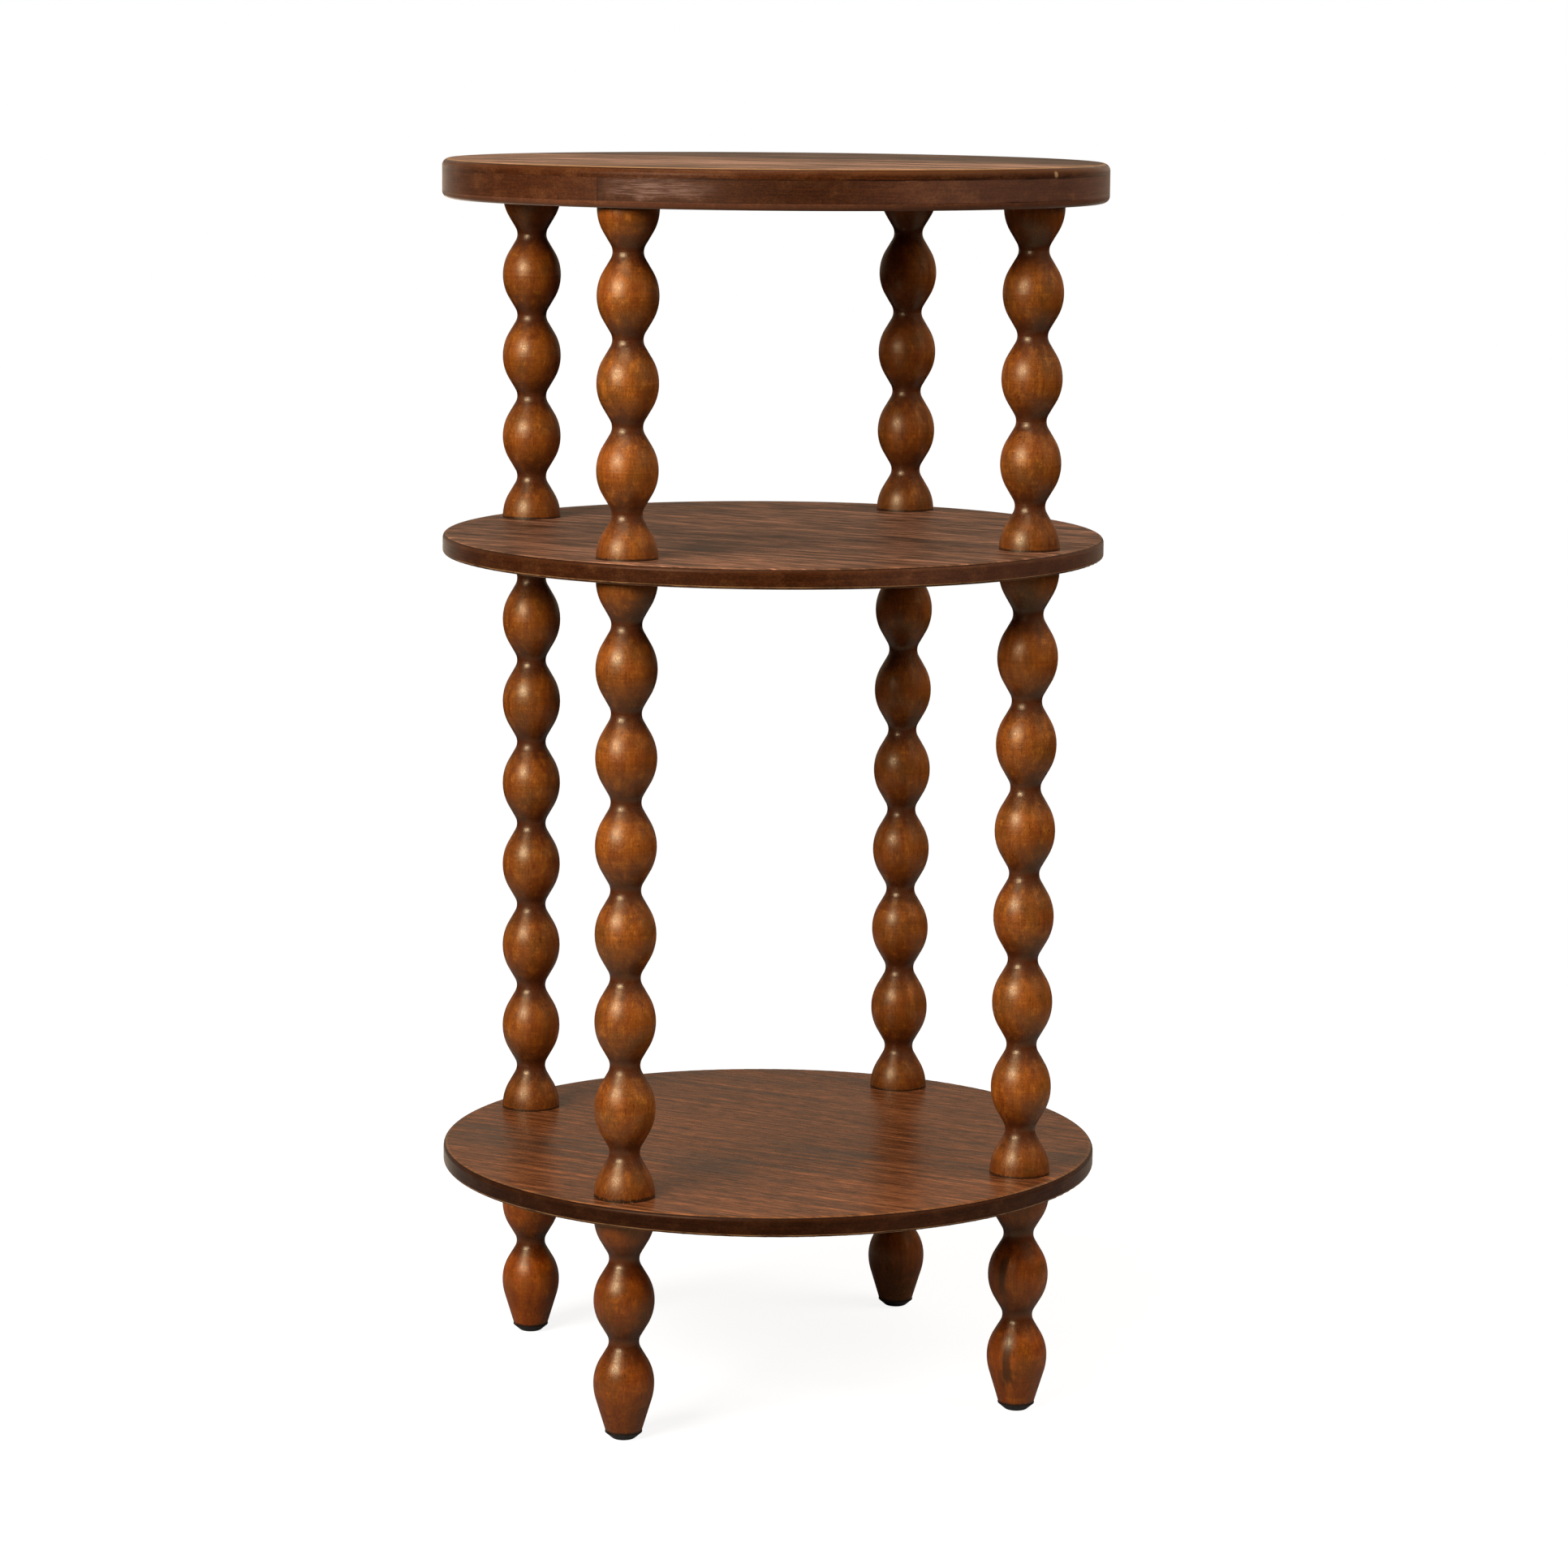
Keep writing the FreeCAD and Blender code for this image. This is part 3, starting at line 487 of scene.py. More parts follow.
# Cells of the veneer's noises along and across the grain. A veneer is the same all through.
THROUGH = 900.0
BAND_LENGTH = 480.0
BAND_WIDTHS = 3.0
STREAK_LENGTHS = 0.7
STREAK_WIDTHS = 0.3
VENEER_FIBRE = (26.0, 0.8)
VENEER_PORE = (7.0, 0.5)
VENEER_CLOUD = (60.0, 30.0)
VENEER_GRIT = (0.6, 0.5)
DASH_STRETCH = 5.5
TICK_LENGTHS = 4.0
TICK_WIDTHS = 0.45
VENEER_NOISES = {
    "bands": {"shift": 0.0, "detail": 3.0, "bend": 0.2},
    "figure": {"shift": 0.1, "detail": 4.0, "rough": 0.65},
    "streaks": {"shift": 0.2, "detail": 4.0, "rough": 0.65},
    "fibres": {"shift": 0.3, "detail": 3.0, "rough": 0.65},
    "pores": {"shift": 0.4, "detail": 1.0},
    "clouds": {"shift": 0.5, "detail": 4.0, "rough": 0.6},
    "grit": {"shift": 0.6},
    "dashes": {"shift": 0.7, "detail": 4.0, "rough": 0.7},
    "ticks": {"shift": 0.8, "detail": 2.0, "rough": 0.6},
}

# Ramps over those noises
WALNUT_RAMP = (0.28, 0.70)
BAND_RAMP = (0.32, 0.68, 0.05, 0.55)
VENEER_SHADES = (
    ("streaks", (0.32, 0.68, 0.66, 1.30)),
    ("fibres", (0.30, 0.70, 0.60, 1.38)),
    ("grit", (0.3, 0.7, 0.88, 1.12)),
)
DASH_RAMP = (0.34, 0.66)
TICK_RAMP = (0.54, 0.64)
TICK_DEPTHS = 1.2
TICK_SHADE = 0.22
PORE_RAMP = (0.60, 0.70)
PORE_SHARE = 0.65
HEART_STARTS = -15.0
HEART_FULL = 55.0
HEART_WAVES = (-25.0, 25.0)
PATCH_CLOUDS = (0.55, -0.55)
PATCH_FRAY = (-0.3, 0.3)
PATCH_SHARE = (0.35, 0.6, 0.7, 0.3)
CUT_CLEAR = 0.02
CUT_FULL = 0.12
CUT_UNEVEN = (0.3, 0.6, 0.5, 1.0)

# Roughness and relief of the veneer
VENEER_ROUGHNESS_SPREAD = 0.05
PORE_ROUGHNESS = 0.15
PORE_SINK = 0.9
VENEER_FIBRE_DEPTH = 0.06
DASH_DEPTH = 0.02


def walnut(node, seed, tone, rough, cut, length, width, dash, depth, heart, dark_patches):
    """Walnut veneer on the face of a disc, with its cut edge at the rim."""
    high = heights(node)[1]
    f = Finish(f"{node}_walnut", VENEER_GLOSS, VENEER_SHINE)
    x, y, z = f.axes()
    cells = {
        "bands": (BAND_LENGTH, BAND_WIDTHS * width),
        "figure": (length, width),
        "streaks": (STREAK_LENGTHS * length, STREAK_WIDTHS * width),
        "fibres": VENEER_FIBRE,
        "pores": VENEER_PORE,
        "clouds": VENEER_CLOUD,
        "grit": VENEER_GRIT,
        "dashes": (DASH_STRETCH * dash, dash),
        "ticks": (TICK_LENGTHS * dash, TICK_WIDTHS * dash),
    }
    for name, values in VENEER_NOISES.items():
        f.noises[name] = f.noise((*cells[name], THROUGH), seed=seed, turn=GRAIN_TURN, **values)

    f.colour = f.mix(f.by("figure", *WALNUT_RAMP), WALNUT_DARK, WALNUT_PALE)
    f.tint(f.by("bands", *BAND_RAMP), WALNUT)
    f.colour = f.tinted(f.colour, tone)
    for name, ramp in VENEER_SHADES:
        f.shade(f.by(name, *ramp))
    f.shade(f.by("dashes", *DASH_RAMP, 1.0 - depth, 1.0 + depth))

    across = f.split(f.stretched((1.0, 1.0, 1.0), GRAIN_TURN))[1]
    wavy = f.plus(across, f.by("clouds", *SPREAD, *HEART_WAVES))
    f.tint(f.ramp(wavy, HEART_STARTS, HEART_FULL, 0.0, heart), f.tinted(f.colour, WALNUT_HEART))
    # Dark patches in fixed ovals on each face
    fray = f.plus(f.by("clouds", *SPREAD, *PATCH_CLOUDS), f.by("figure", *SPREAD, *PATCH_FRAY))
    share = f.by("figure", *PATCH_SHARE)
    for middle, lengths in dark_patches:
        f.tint(f.times(f.spot(middle, lengths, GRAIN_TURN, fray), share), WALNUT_DARK_PATCH)

    f.tint(f.by("ticks", *TICK_RAMP, 0.0, TICK_DEPTHS * depth), f.dim(f.colour, TICK_SHADE))
    open_pores = f.by("pores", *PORE_RAMP)
    f.tint(f.times(open_pores, PORE_SHARE), WALNUT_PORE)
    rim = f.ramp(z, high - CUT_CLEAR, high - CUT_FULL)
    f.tint(f.times(rim, cut, f.by("clouds", *CUT_UNEVEN)), VENEER_CUT)

    ends = (rough - VENEER_ROUGHNESS_SPREAD, rough + VENEER_ROUGHNESS_SPREAD)
    roughness = f.plus(f.by("figure", *SPREAD, *ends), f.times(open_pores, PORE_ROUGHNESS))
    normal = f.rounded(x, y, z, *disc_faces(node))
    fibres = f.minus(f.noises["fibres"], f.times(open_pores, PORE_SINK))
    normal = f.bump(fibres, VENEER_FIBRE_DEPTH, normal)
    normal = f.bump(f.noises["dashes"], DASH_DEPTH * dash, normal)
    return f.done(roughness, normal)


# Stained board edges: dark red-brown, with streaks that run round the edge
EDGE_DARK = (0.055, 0.013, 0.003)
EDGE = (0.088, 0.023, 0.006)
EDGE_WEAR_AND_LIGHT = (0.150, 0.050, 0.015)
EDGE_LINE = (0.520, 0.270, 0.110)
PAINTED_SHEEN_GREY = (0.290, 0.165, 0.128)
EDGE_JOINT = (0.014, 0.005, 0.003)
EDGE_GLOSS = 0.16
EDGE_SHINE = (1.0, 0.64, 0.45)
EDGE_ROUGHNESS = 0.38
EDGE_ROUGHNESS_SPREAD = 0.06
EDGE_SHEEN = 1.0
EDGE_SHEEN_ROUGHNESS = 0.25
SHEEN_TINT = (1.0, 0.86, 0.74)
EDGE_GRAIN_DEPTH = 0.03
EDGE_GRIT_DEPTH = 0.03

# Cells of the edges' noises, long round the edge and short upwards, and ramps over them
EDGE_NOISES = {
    "streaks": {"lengths": (45.0, 45.0, 1.2), "shift": 0.0, "detail": 3.0, "rough": 0.6},
    "grain": {"lengths": (12.0, 12.0, 0.6), "shift": 0.1, "detail": 3.0, "rough": 0.6},
    "patches": {"lengths": (14.0, 14.0, 9.0), "shift": 0.2, "detail": 5.0, "rough": 0.65},
    "grit": {"lengths": (1.3, 1.3, 0.8), "shift": 0.3, "detail": 3.0, "rough": 0.65},
    "knocks": {"lengths": (3.2, 3.2, 1.8), "shift": 0.4},
    "stretches": {"lengths": (55.0, 55.0, 90.0), "shift": 0.5, "detail": 3.0},
}
EDGE_WORN_RAMP = (0.44, 0.70, 0.0, 0.65)
EDGE_GRAIN_SHADES = (0.86, 1.14)
EDGE_GRIT_SHADES = (0.62, 1.36)
KNOCK_RAMP = (0.72, 0.78, 0.0, 0.7)

# Stretches by the angle round the table: the right-hand side, which has painted light on the shelf edges
# and the strip and more rubbing on the top's board, and the strip left of its seam, which is paler
RIGHT_SIDE_STARTS = math.radians(-105)
RIGHT_SIDE_FULL = math.radians(-75)
PAINTED_LIGHT_STARTS = math.radians(-102)
PAINTED_LIGHT_FULL = math.radians(-72)
RIGHT_FADES = math.radians(90)
RIGHT_ENDS = math.radians(160)
LEFT_STARTS = math.radians(110)
LEFT_FULL = math.radians(160)


class EdgeFinish(Finish):
    """A stained edge, with the streaks that every edge shares."""

    def __init__(self, node, seed, tone=1.0, rough=EDGE_ROUGHNESS, gloss=EDGE_GLOSS, shine=EDGE_SHINE):
        super().__init__(f"{node}_edge", gloss, shine)
        self.shader.inputs["Sheen Weight"].default_value = EDGE_SHEEN
        self.shader.inputs["Sheen Roughness"].default_value = EDGE_SHEEN_ROUGHNESS
        self.shader.inputs["Sheen Tint"].default_value = (*SHEEN_TINT, 1.0)
        self.x, self.y, self.z = self.axes()
        self.angle = self.maths("ARCTAN2", self.y, self.x)
        for name, values in EDGE_NOISES.items():
            self.noises[name] = self.noise(seed=seed, **values)
        self.colour = self.mix(self.by("streaks", *SPREAD), EDGE_DARK, EDGE)
        self.tint(self.by("patches", *EDGE_WORN_RAMP), EDGE_WEAR_AND_LIGHT)
        self.shade(self.by("grain", *SPREAD, *(shade * tone for shade in EDGE_GRAIN_SHADES)))
        self.shade(self.by("grit", *SPREAD, *EDGE_GRIT_SHADES))
        self.tint(self.by("knocks", *KNOCK_RAMP), EDGE_JOINT)
        ends = (rough + EDGE_ROUGHNESS_SPREAD, rough - EDGE_ROUGHNESS_SPREAD)
        self.roughness = self.by("streaks", *SPREAD, *ends)
        self.faces = disc_faces(node)

    def on_right(self, starts, full):
        """One on the right-hand side of the table and nought on the left, with soft ends."""
        front = self.ramp(self.angle, starts, full)
        return self.times(front, self.ramp(self.angle, RIGHT_ENDS, RIGHT_FADES))

    def finished(self, depth=EDGE_GRAIN_DEPTH):
        """Adds the relief of the grain and gives the material."""
        normal = self.rounded(self.x, self.y, self.z, *self.faces)
        normal = self.bump(self.noises["grain"], depth, normal)
        normal = self.bump(self.noises["grit"], EDGE_GRIT_DEPTH, normal)
        return self.done(self.roughness, normal)


# Shelf edges: each one's tone and how much painted sheen greys its right-hand side, which also gets
# painted light, its upper corner, paler with painted light on its rounding, the dark line under the veneer
# and the light line above the lower corner. The bottom edge's low tone is partly a darker stain and partly
# painted shade.
SHELF_EDGES = {"mid_shelf": (0.76, 0.12), "bottom_shelf": (0.40, 0.03)}
SHELF_RIGHT_PAINTED_LIGHT = 1.45
SHELF_UNEVEN = (-0.2, 0.2)
CORNER_CLEAR = 3.4
CORNER_FULL = 1.6
CORNER_PAINTED_LIGHT = 0.2
VENEER_LINE_CLEAR = 0.8
VENEER_LINE_FULL = 0.3
VENEER_LINE_SHARE = 0.75
LIGHT_LINE = (0.1, 0.7)
LIGHT_LINE_SOFT = 0.15
LIGHT_LINE_RAMP = (0.32, 0.62, 0.1, 0.8)


def shelf_edge(node, seed, tone, painted_sheen):
    """The edge of a shelf's board."""
    low, high = heights(node)
    f = EdgeFinish(node, seed, tone)
    # Painted light and painted sheen on the right-hand side of the edge
    right = f.on_right(RIGHT_SIDE_STARTS, RIGHT_SIDE_FULL)
    f.shade(f.ramp(right, 0.0, 1.0, 1.0, SHELF_RIGHT_PAINTED_LIGHT))
    f.tint(f.times(right, painted_sheen), PAINTED_SHEEN_GREY)
    level = f.plus(f.z, f.by("patches", *SPREAD, *SHELF_UNEVEN))
    # Painted light: the upper corner's rounding is paler
    f.tint(f.ramp(level, high - CORNER_CLEAR, high - CORNER_FULL, 0.0, CORNER_PAINTED_LIGHT * tone), EDGE_WEAR_AND_LIGHT)
    under_veneer = f.ramp(level, high - VENEER_LINE_CLEAR, high - VENEER_LINE_FULL, 0.0, VENEER_LINE_SHARE)
    f.tint(under_veneer, EDGE_JOINT)
    line = f.band(level, low + LIGHT_LINE[0], low + LIGHT_LINE[1], LIGHT_LINE_SOFT)
    f.tint(f.times(line, f.by("patches", *LIGHT_LINE_RAMP)), EDGE_LINE)
    return f.finished()


# The top's upper layer: rubbed towards its corner, with a joint below and a spot of filler
RUBBED_LEFT = 0.45
RUBBED_RAMP = (0.35, 0.6, 0.5, 1.0)
RUBBED_RISE = 1.5
RUBBED_TOP = 1.2
RUBBED_SHARE = 0.8
TOP_LINE_CLEAR = 0.9
TOP_LINE_FULL = 0.3
TOP_LINE_SHARE = 0.5
JOINT_RAGGED = (0.0, 0.9)
JOINT_CLEAR = 0.35
JOINT_FULL = 0.1
JOINT_RAMP = (0.40, 0.58, 0.1, 0.9)
FILLER = (0.560, 0.330, 0.150)
FILLER_ANGLE = math.radians(-52.2)
FILLER_LEVEL = 742.0
FILLER_SIZE = (2.6, 2.6, 2.6)


def top_face_edge(node, seed):
    """The edge of the board under the top's veneer."""
    low, high = heights(node)
    f = EdgeFinish(node, seed)
    right = f.ramp(f.on_right(RIGHT_SIDE_STARTS, RIGHT_SIDE_FULL), 0.0, 1.0, RUBBED_LEFT, 1.0)
    rubbed = f.times(f.by("stretches", *RUBBED_RAMP), right)
    corner = f.ramp(f.z, low + RUBBED_RISE, high - RUBBED_TOP, 0.0, RUBBED_SHARE)
    f.tint(f.times(corner, rubbed), EDGE_WEAR_AND_LIGHT)
    f.tint(f.ramp(f.z, high - TOP_LINE_CLEAR, high - TOP_LINE_FULL, 0.0, TOP_LINE_SHARE), EDGE_JOINT)
    ragged = f.by("grain", *SPREAD, *JOINT_RAGGED)
    joint = f.ramp(f.minus(f.z, ragged), low + JOINT_CLEAR, low - JOINT_FULL)
    f.tint(f.times(joint, f.by("stretches", *JOINT_RAMP)), EDGE_JOINT)
    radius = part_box(node)[1].x / MM
    middle = (radius * math.cos(FILLER_ANGLE), radius * math.sin(FILLER_ANGLE), FILLER_LEVEL)
    f.tint(f.spot(middle, FILLER_SIZE), FILLER)
    return f.finished()


# The top's edge strip: paler left of its seam, with painted light and painted sheen on the right, a
# rubbed, shinier stretch past the seam with a painted glare on it, and a dark joint along both of its
# sides. The seam's widths are in radians round the edge.
STRIP_TONE = 0.76
STRIP_ROUGHNESS = 0.52
STRIP_GLOSS = 0.3
STRIP_SHINE = (1.0, 0.64, 0.46)
STRIP_GRAIN_DEPTH = 0.05
STRIP_LEFT_SHADE = 1.35
STRIP_RIGHT_PAINTED_LIGHT = 1.9
STRIP_RIGHT_PAINTED_SHEEN = 0.17
SEAM_ANGLE = math.radians(-136.2)
SEAM_SOFT = 0.003
SEAM_HALF_WIDTH = 0.001
SEAM_SHARE = 0.55
SEAM_STAIN_ENDS = 0.03
SEAM_STAIN_FULL = 0.012
SEAM_STAIN_SHARE = 0.6
GLARE_STARTS = math.radians(-137)
GLARE_FULL = math.radians(-129)
GLARE_FADES = math.radians(-125)
GLARE_ENDS = math.radians(-113)
GLARE_UNEVEN = (-2.4, 2.4)
GLARE_BOTTOM = 3.0
GLARE_TOP = 1.5
GLARE_SOFT = 2.6
GLARE_RAMP = (0.40, 0.62, 0.1, 0.75)
GLARE_POLISH = -0.20
STRIP_RAGGED = (0.0, 0.6)
STRIP_JOINT_CLEAR = 0.2
STRIP_JOINT_FULL = 0.15
STRIP_JOINT_RAMP = (0.42, 0.60, 0.15, 0.9)


def top_strip_edge(node, seed):
    """The strip bent round the top, with its butt seam."""
    low, high = heights(node)
    f = EdgeFinish(node, seed, STRIP_TONE, STRIP_ROUGHNESS, STRIP_GLOSS, STRIP_SHINE)
    past_seam = f.ramp(f.angle, SEAM_ANGLE - SEAM_SOFT, SEAM_ANGLE + SEAM_SOFT)
    left = f.larger(f.minus(1.0, past_seam), f.ramp(f.angle, LEFT_STARTS, LEFT_FULL))
    f.shade(f.ramp(left, 0.0, 1.0, 1.0, STRIP_LEFT_SHADE))
    # Painted light and painted sheen on the right-hand side of the strip
    right = f.on_right(PAINTED_LIGHT_STARTS, PAINTED_LIGHT_FULL)
    f.shade(f.ramp(right, 0.0, 1.0, 1.0, STRIP_RIGHT_PAINTED_LIGHT))
    f.tint(f.times(right, STRIP_RIGHT_PAINTED_SHEEN), PAINTED_SHEEN_GREY)

    seam = f.band(f.angle, SEAM_ANGLE - SEAM_HALF_WIDTH, SEAM_ANGLE + SEAM_HALF_WIDTH, SEAM_HALF_WIDTH)
    stain_ends = (SEAM_ANGLE + SEAM_STAIN_ENDS, SEAM_ANGLE + SEAM_STAIN_FULL)
    stained = f.times(past_seam, f.ramp(f.angle, *stain_ends, 0.0, SEAM_STAIN_SHARE))
    ragged = f.by("grain", *SPREAD, *STRIP_RAGGED)
    upper = f.ramp(f.plus(f.z, ragged), high - STRIP_JOINT_CLEAR, high + STRIP_JOINT_FULL)
    lower = f.ramp(f.minus(f.z, ragged), low + STRIP_JOINT_CLEAR, low - STRIP_JOINT_FULL)
    joint = f.times(f.larger(upper, lower), f.by("stretches", *STRIP_JOINT_RAMP))
    f.tint(f.larger(joint, f.times(f.larger(seam, stained), SEAM_SHARE)), EDGE_JOINT)

    # Painted glare: a share of the sheen grey over the stretch past the seam, which is also less rough
    uneven = f.plus(f.z, f.by("patches", *SPREAD, *GLARE_UNEVEN))
    glare = f.band(uneven, low + GLARE_BOTTOM, high - GLARE_TOP, GLARE_SOFT)
    glare = f.times(glare, f.ramp(f.angle, GLARE_STARTS, GLARE_FULL))
    glare = f.times(glare, f.ramp(f.angle, GLARE_ENDS, GLARE_FADES))
    f.tint(f.times(glare, f.by("grain", *GLARE_RAMP)), PAINTED_SHEEN_GREY)
    f.roughness = f.plus(f.roughness, f.times(glare, GLARE_POLISH))
    return f.finished(STRIP_GRAIN_DEPTH)


# The top's lower layer, paler towards its lower corner
BACKING_TONE = 1.55
BACKING_WEAR = (0.1, 0.8)
BACKING_GREY = 0.12


def top_back_edge(node, seed):
    """The edge of the board at the bottom of the top."""
    low, high = heights(node)
    f = EdgeFinish(node, seed, BACKING_TONE)
    f.tint(f.ramp(f.z, high, low, *BACKING_WEAR), EDGE_WEAR_AND_LIGHT)
    f.tint(BACKING_GREY, PAINTED_SHEEN_GREY)
    return f.finished()


# Back veneer: plain and dull, with a light line at its rim
BACK_PALE = (0.150, 0.070, 0.034)
BACK_DARK = (0.085, 0.036, 0.017)
BACK_GLOSS = 0.3
BACK_NOISES = {
    "streaks": {
        "lengths": (120.0, 2.5, THROUGH),
        "turn": GRAIN_TURN,
        "shift": 0.0,
        "detail": 3.0,
        "rough": 0.6,
    },
    "fibres": {"lengths": (30.0, 0.6, THROUGH), "turn": GRAIN_TURN, "shift": 0.1},
    "rubbed": {"lengths": (14.0, 14.0, 9.0), "shift": 0.2, "detail": 3.0},
}
BACK_FIBRE_SHADES = (0.8, 1.2)
BACK_LINE = (0.1, 0.45)
BACK_LINE_SOFT = 0.08
BACK_LINE_RAMP = (0.35, 0.6, 0.2, 0.9)
BACK_STAIN_CLEAR = 0.5
BACK_STAIN_FULL = 0.65
BACK_STAIN_SHARE = 0.85
BACK_ROUGHNESS = (0.55, 0.68)
BACK_FIBRE_DEPTH = 0.04


def back_veneer(node, seed):
    """The veneer under a shelf."""
    low = heights(node)[0]
    f = Finish(f"{node}_veneer", BACK_GLOSS)
    x, y, z = f.axes()
    for name, values in BACK_NOISES.items():
        f.noises[name] = f.noise(seed=seed, **values)
    f.colour = f.mix(f.by("streaks", *SPREAD), BACK_DARK, BACK_PALE)
    f.shade(f.by("fibres", *SPREAD, *BACK_FIBRE_SHADES))
    line = f.band(z, low + BACK_LINE[0], low + BACK_LINE[1], BACK_LINE_SOFT)
    f.tint(f.times(line, f.by("rubbed", *BACK_LINE_RAMP)), EDGE_LINE)
    stain = f.ramp(z, low + BACK_STAIN_CLEAR, low + BACK_STAIN_FULL)
    f.tint(f.times(stain, BACK_STAIN_SHARE), EDGE_DARK)
    normal = f.bump(f.noises["fibres"], BACK_FIBRE_DEPTH, f.rounded(x, y, z, *disc_faces(node)))
    return f.done(f.by("streaks", *SPREAD, *BACK_ROUGHNESS), normal)


# Core board, glides and steel: two colours each, with the noise that mixes them
CORE_DARK = (0.36, 0.24, 0.13)
CORE_PALE = (0.52, 0.37, 0.22)
CORE_GLOSS = 0.2
CORE_CHIPS = {"lengths": (4.0, 2.0, 1.5), "turn": GRAIN_TURN, "detail": 3.0}
CORE_ROUGHNESS = (0.75, 0.9)
CORE_DEPTH = 0.1
PLASTIC = (0.012, 0.008, 0.008)
PLASTIC_SCUFF = (0.050, 0.038, 0.034)
PLASTIC_SCUFFS = {"lengths": (2.5, 2.5, 0.8), "detail": 3.0}
PLASTIC_GRAIN = {"lengths": (0.5, 0.5, 0.5)}
SCUFF_RAMP = (0.58, 0.75)
PLASTIC_ROUGHNESS = (0.4, 0.7, 0.38, 0.55)
PLASTIC_DEPTH = 0.03
STEEL_DULL = (0.40, 0.39, 0.37)
STEEL = (0.62, 0.61, 0.58)
STEEL_BRUSHED = {"lengths": (0.2, 0.2, 3.0)}
STEEL_ROUGHNESS = (0.32, 0.48)
STEEL_DEPTH = 0.02


def core_board():
    """Pressed wood chips inside the top."""
    f = Finish("core_board", CORE_GLOSS)
    chips = f.noise(**CORE_CHIPS)
    f.colour = f.mix(f.ramp(chips, *SPREAD), CORE_DARK, CORE_PALE)
    return f.done(f.ramp(chips, *SPREAD, *CORE_ROUGHNESS), f.bump(chips, CORE_DEPTH))


def glide_plastic():
    """Dark, scuffed plastic under the feet."""
    f = Finish("glide_plastic")
    scuffs = f.noise(**PLASTIC_SCUFFS)
    f.colour = f.mix(f.ramp(scuffs, *SCUFF_RAMP), PLASTIC, PLASTIC_SCUFF)
    return f.done(f.ramp(scuffs, *PLASTIC_ROUGHNESS), f.bump(f.noise(**PLASTIC_GRAIN), PLASTIC_DEPTH))


def zinc_steel():
    """Zinc-plated steel of the bolts, nuts and nails."""
    f = Finish("zinc_steel", metallic=1.0)
    brushed = f.noise(**STEEL_BRUSHED)
    f.colour = f.mix(f.ramp(brushed, *SPREAD), STEEL_DULL, STEEL)
    return f.done(f.ramp(brushed, *SPREAD, *STEEL_ROUGHNESS), f.bump(brushed, STEEL_DEPTH))


# How pale each turned piece is, in the order of the legs
TONES = {
    "upper_spindle": (0.84, 1.03, 1.11, 0.97),
    "lower_spindle": (0.95, 0.97, 0.98, 1.06),
    "foot": (0.60, 1.20, 0.80, 1.00),
}
TOP_LAYERS = {
    "top_face_board": top_face_edge,
    "top_edge_strip": top_strip_edge,
    "top_backing_board": top_back_edge,
}
STEEL_NODES = (
    "glide_nails",
    "foot_hanger_bolts",
    "mid_hanger_bolts",
    "top_hanger_bolts",
    "lower_spindle_insert_nuts",
    "upper_spindle_insert_nuts",
    "top_insert_nuts",
)

# Every piece gets its finish, each with a seed of its own
SHELF_SEEDS = 3
seed = 1
for part, tones in TONES.items():
    for leg, tone in zip(LEGS, tones):
        name = f"{part}_{leg}"
        dress(name, turned_wood(name, seed, tone))
        seed += 1
for name, values in VENEER.items():
    dress(name, walnut(name, seed, **values))
    seed += 1
for name, edge in TOP_LAYERS.items():
    dress(name, edge(name, seed))
    seed += 1
for shelf, (tone, painted_sheen) in SHELF_EDGES.items():
    dress(f"{shelf}_board", shelf_edge(f"{shelf}_board", seed, tone, painted_sheen))
    dress(f"{shelf}_back_veneer", back_veneer(f"{shelf}_back_veneer", seed + 1))
    seed += SHELF_SEEDS
dress("top_core", core_board())
plastic = glide_plastic()
for leg in LEGS:
    dress(f"glide_{leg}", plastic)
steel = zinc_steel()
for name in STEEL_NODES:
    dress(name, steel)

# Camera at the photograph's angle
CAMERA_DISTANCE = 2.8485
CAMERA_HEIGHT = 0.8168
CAMERA_TURN = math.radians(-15.91)
CAMERA_PAN = -0.0026
CAMERA_DOWN = 0.13994
CAMERA_ROLL = 0.00866
CAMERA_LENS = 108.37
CAMERA_SENSOR = 36.0
CAMERA_SHIFT = -0.05

lens = bpy.data.cameras.new("camera")
lens.lens = CAMERA_LENS
lens.sensor_width = CAMERA_SENSOR
lens.shift_y = CAMERA_SHIFT
camera = bpy.data.objects.new("camera", lens)
bpy.context.scene.collection.objects.link(camera)
around = Matrix.Rotation(CAMERA_TURN, 4, "Z")
stand = around @ Matrix.Translation((0.0, -CAMERA_DISTANCE, CAMERA_HEIGHT))
aim = Matrix.Rotation(CAMERA_PAN, 4, "Z") @ Matrix.Rotation(math.pi / 2 - CAMERA_DOWN, 4, "X")
camera.matrix_world = stand @ aim @ Matrix.Rotation(CAMERA_ROLL, 4, "Z")
bpy.context.scene.camera = camera

# Soft studio lights, placed in degrees from the camera's side. Most of the fill light leaves no glints.
LIGHT_AIM = Vector((0.0, 0.0, 0.42))
LIGHT_TINT = (1.0, 0.94, 0.86)
LIGHTS = {
    "key": {"turn": -39, "rise": 24, "distance": 2.4, "size": (1.2, 0.75), "power": 49},
    "fill": {"turn": 76, "rise": 36, "distance": 2.4, "size": (2.0, 1.8), "power": 20, "glints": False},
    "fill_shine": {"turn": 76, "rise": 36, "distance": 2.4, "size": (1.4, 1.2), "power": 9},
    "top": {"turn": -30, "rise": 72, "distance": 2.0, "size": (1.2, 1.2), "power": 14},
}


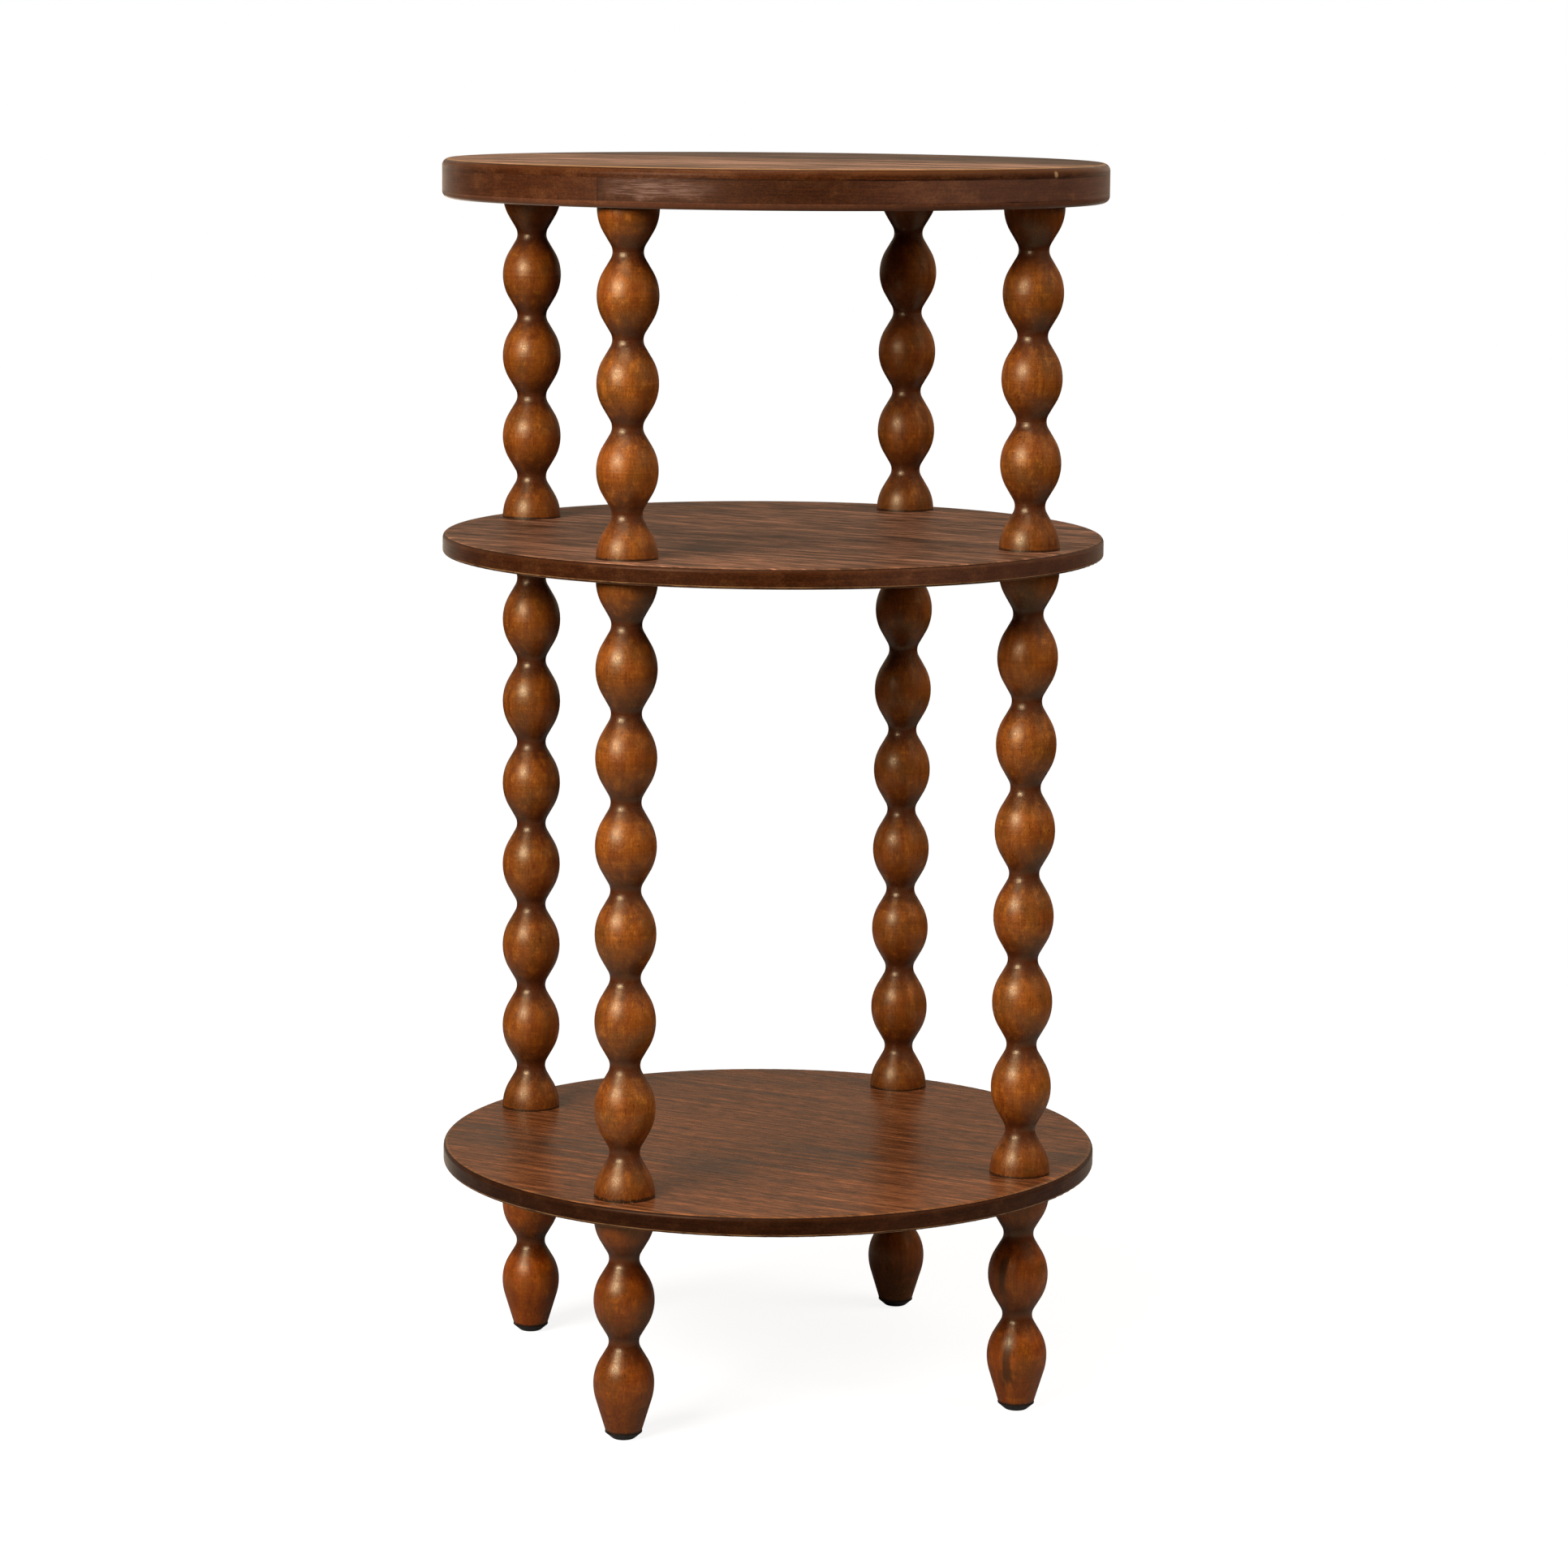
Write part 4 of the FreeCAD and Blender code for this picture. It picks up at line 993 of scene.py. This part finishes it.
def softbox(name, turn, rise, distance, size, power, glints=True):
    """An area light that faces the table."""
    box = bpy.data.lights.new(name, "AREA")
    box.shape = "RECTANGLE"
    box.size, box.size_y = size
    box.energy = power
    box.color = LIGHT_TINT
    light = bpy.data.objects.new(name, box)
    light.visible_glossy = glints
    bpy.context.scene.collection.objects.link(light)
    side = CAMERA_TURN - math.pi / 2 + math.radians(turn)
    up = math.radians(rise)
    toward = Vector((math.cos(side) * math.cos(up), math.sin(side) * math.cos(up), math.sin(up)))
    light.location = LIGHT_AIM + toward * distance
    light.rotation_euler = toward.to_track_quat("Z", "Y").to_euler()


for name, values in LIGHTS.items():
    softbox(name, **values)

# White backdrop, which lights the table a little from behind, and a dim room in front
ROOM_LIGHT = 0.06
ROOM_TINT = (1.0, 0.79, 0.58)
BACK_LIGHT = 0.30
BACK_LIGHT_STARTS = 0.2
BACK_LIGHT_FULL = 0.97
BACKDROP = 1.0

world = bpy.data.worlds.new("studio")
world.use_nodes = True
bpy.context.scene.world = world
sky = Graph(world.node_tree)
in_view = sky.node("ShaderNodeLightPath").outputs["Is Camera Ray"]
behind = sky.node("ShaderNodeVectorMath", operation="DOT_PRODUCT")
sky.feed(behind.inputs[0], sky.node("ShaderNodeTexCoord").outputs["Generated"])
sky.feed(behind.inputs[1], around @ Vector((0.0, 1.0, 0.0)))
room = sky.ramp(behind.outputs["Value"], BACK_LIGHT_STARTS, BACK_LIGHT_FULL, ROOM_LIGHT, BACK_LIGHT)
backdrop = world.node_tree.nodes["Background"]
sky.feed(backdrop.inputs["Color"], sky.mix(in_view, ROOM_TINT, WHITE))
sky.feed(backdrop.inputs["Strength"], sky.ramp(in_view, 0.0, 1.0, room, BACKDROP))

# Pale floor, which turns into the white backdrop away from the table
FLOOR_RADIUS = 9.0
FLOOR_SEGMENTS = 96
FLOOR_PALE = (0.36, 0.36, 0.36)
FLOOR_NEAR = 350.0
FLOOR_FAR = 1600.0
FLOOR_NEAR_GLOW = 0.88
FLOOR_GLOSS = 0.1
FLOOR_ROUGHNESS = 0.9
FLOOR_DUST = {"lengths": (50.0, 50.0, 50.0), "detail": 3.0}
FLOOR_DUST_SHADES = (0.985, 1.0)
FLOOR_DUST_DEPTH = 0.02


def pale_floor():
    """A pale floor that grows as bright as the backdrop away from the table."""
    f = Finish("pale_floor", FLOOR_GLOSS)
    away = f.reach(*f.axes()[:2])
    dust = f.noise(**FLOOR_DUST)
    f.colour = f.dim(FLOOR_PALE, f.ramp(dust, *SPREAD, *FLOOR_DUST_SHADES))
    f.shade(f.ramp(away, FLOOR_NEAR, FLOOR_FAR, 1.0, 0.0))
    glow = f.ramp(away, FLOOR_NEAR, FLOOR_FAR, FLOOR_NEAR_GLOW, BACKDROP)
    in_view = f.node("ShaderNodeLightPath").outputs["Is Camera Ray"]
    f.shader.inputs["Emission Color"].default_value = (*WHITE, 1.0)
    f.feed(f.shader.inputs["Emission Strength"], f.times(glow, in_view))
    return f.done(FLOOR_ROUGHNESS, f.bump(dust, FLOOR_DUST_DEPTH))


ground = bmesh.new()
bmesh.ops.create_circle(ground, cap_ends=True, radius=FLOOR_RADIUS, segments=FLOOR_SEGMENTS)
floor_mesh = bpy.data.meshes.new("floor")
ground.to_mesh(floor_mesh)
ground.free()
floor_mesh.materials.append(pale_floor())
floor = bpy.data.objects.new("floor", floor_mesh)
bpy.context.scene.collection.objects.link(floor)

bpy.context.scene.view_settings.view_transform = "Standard"
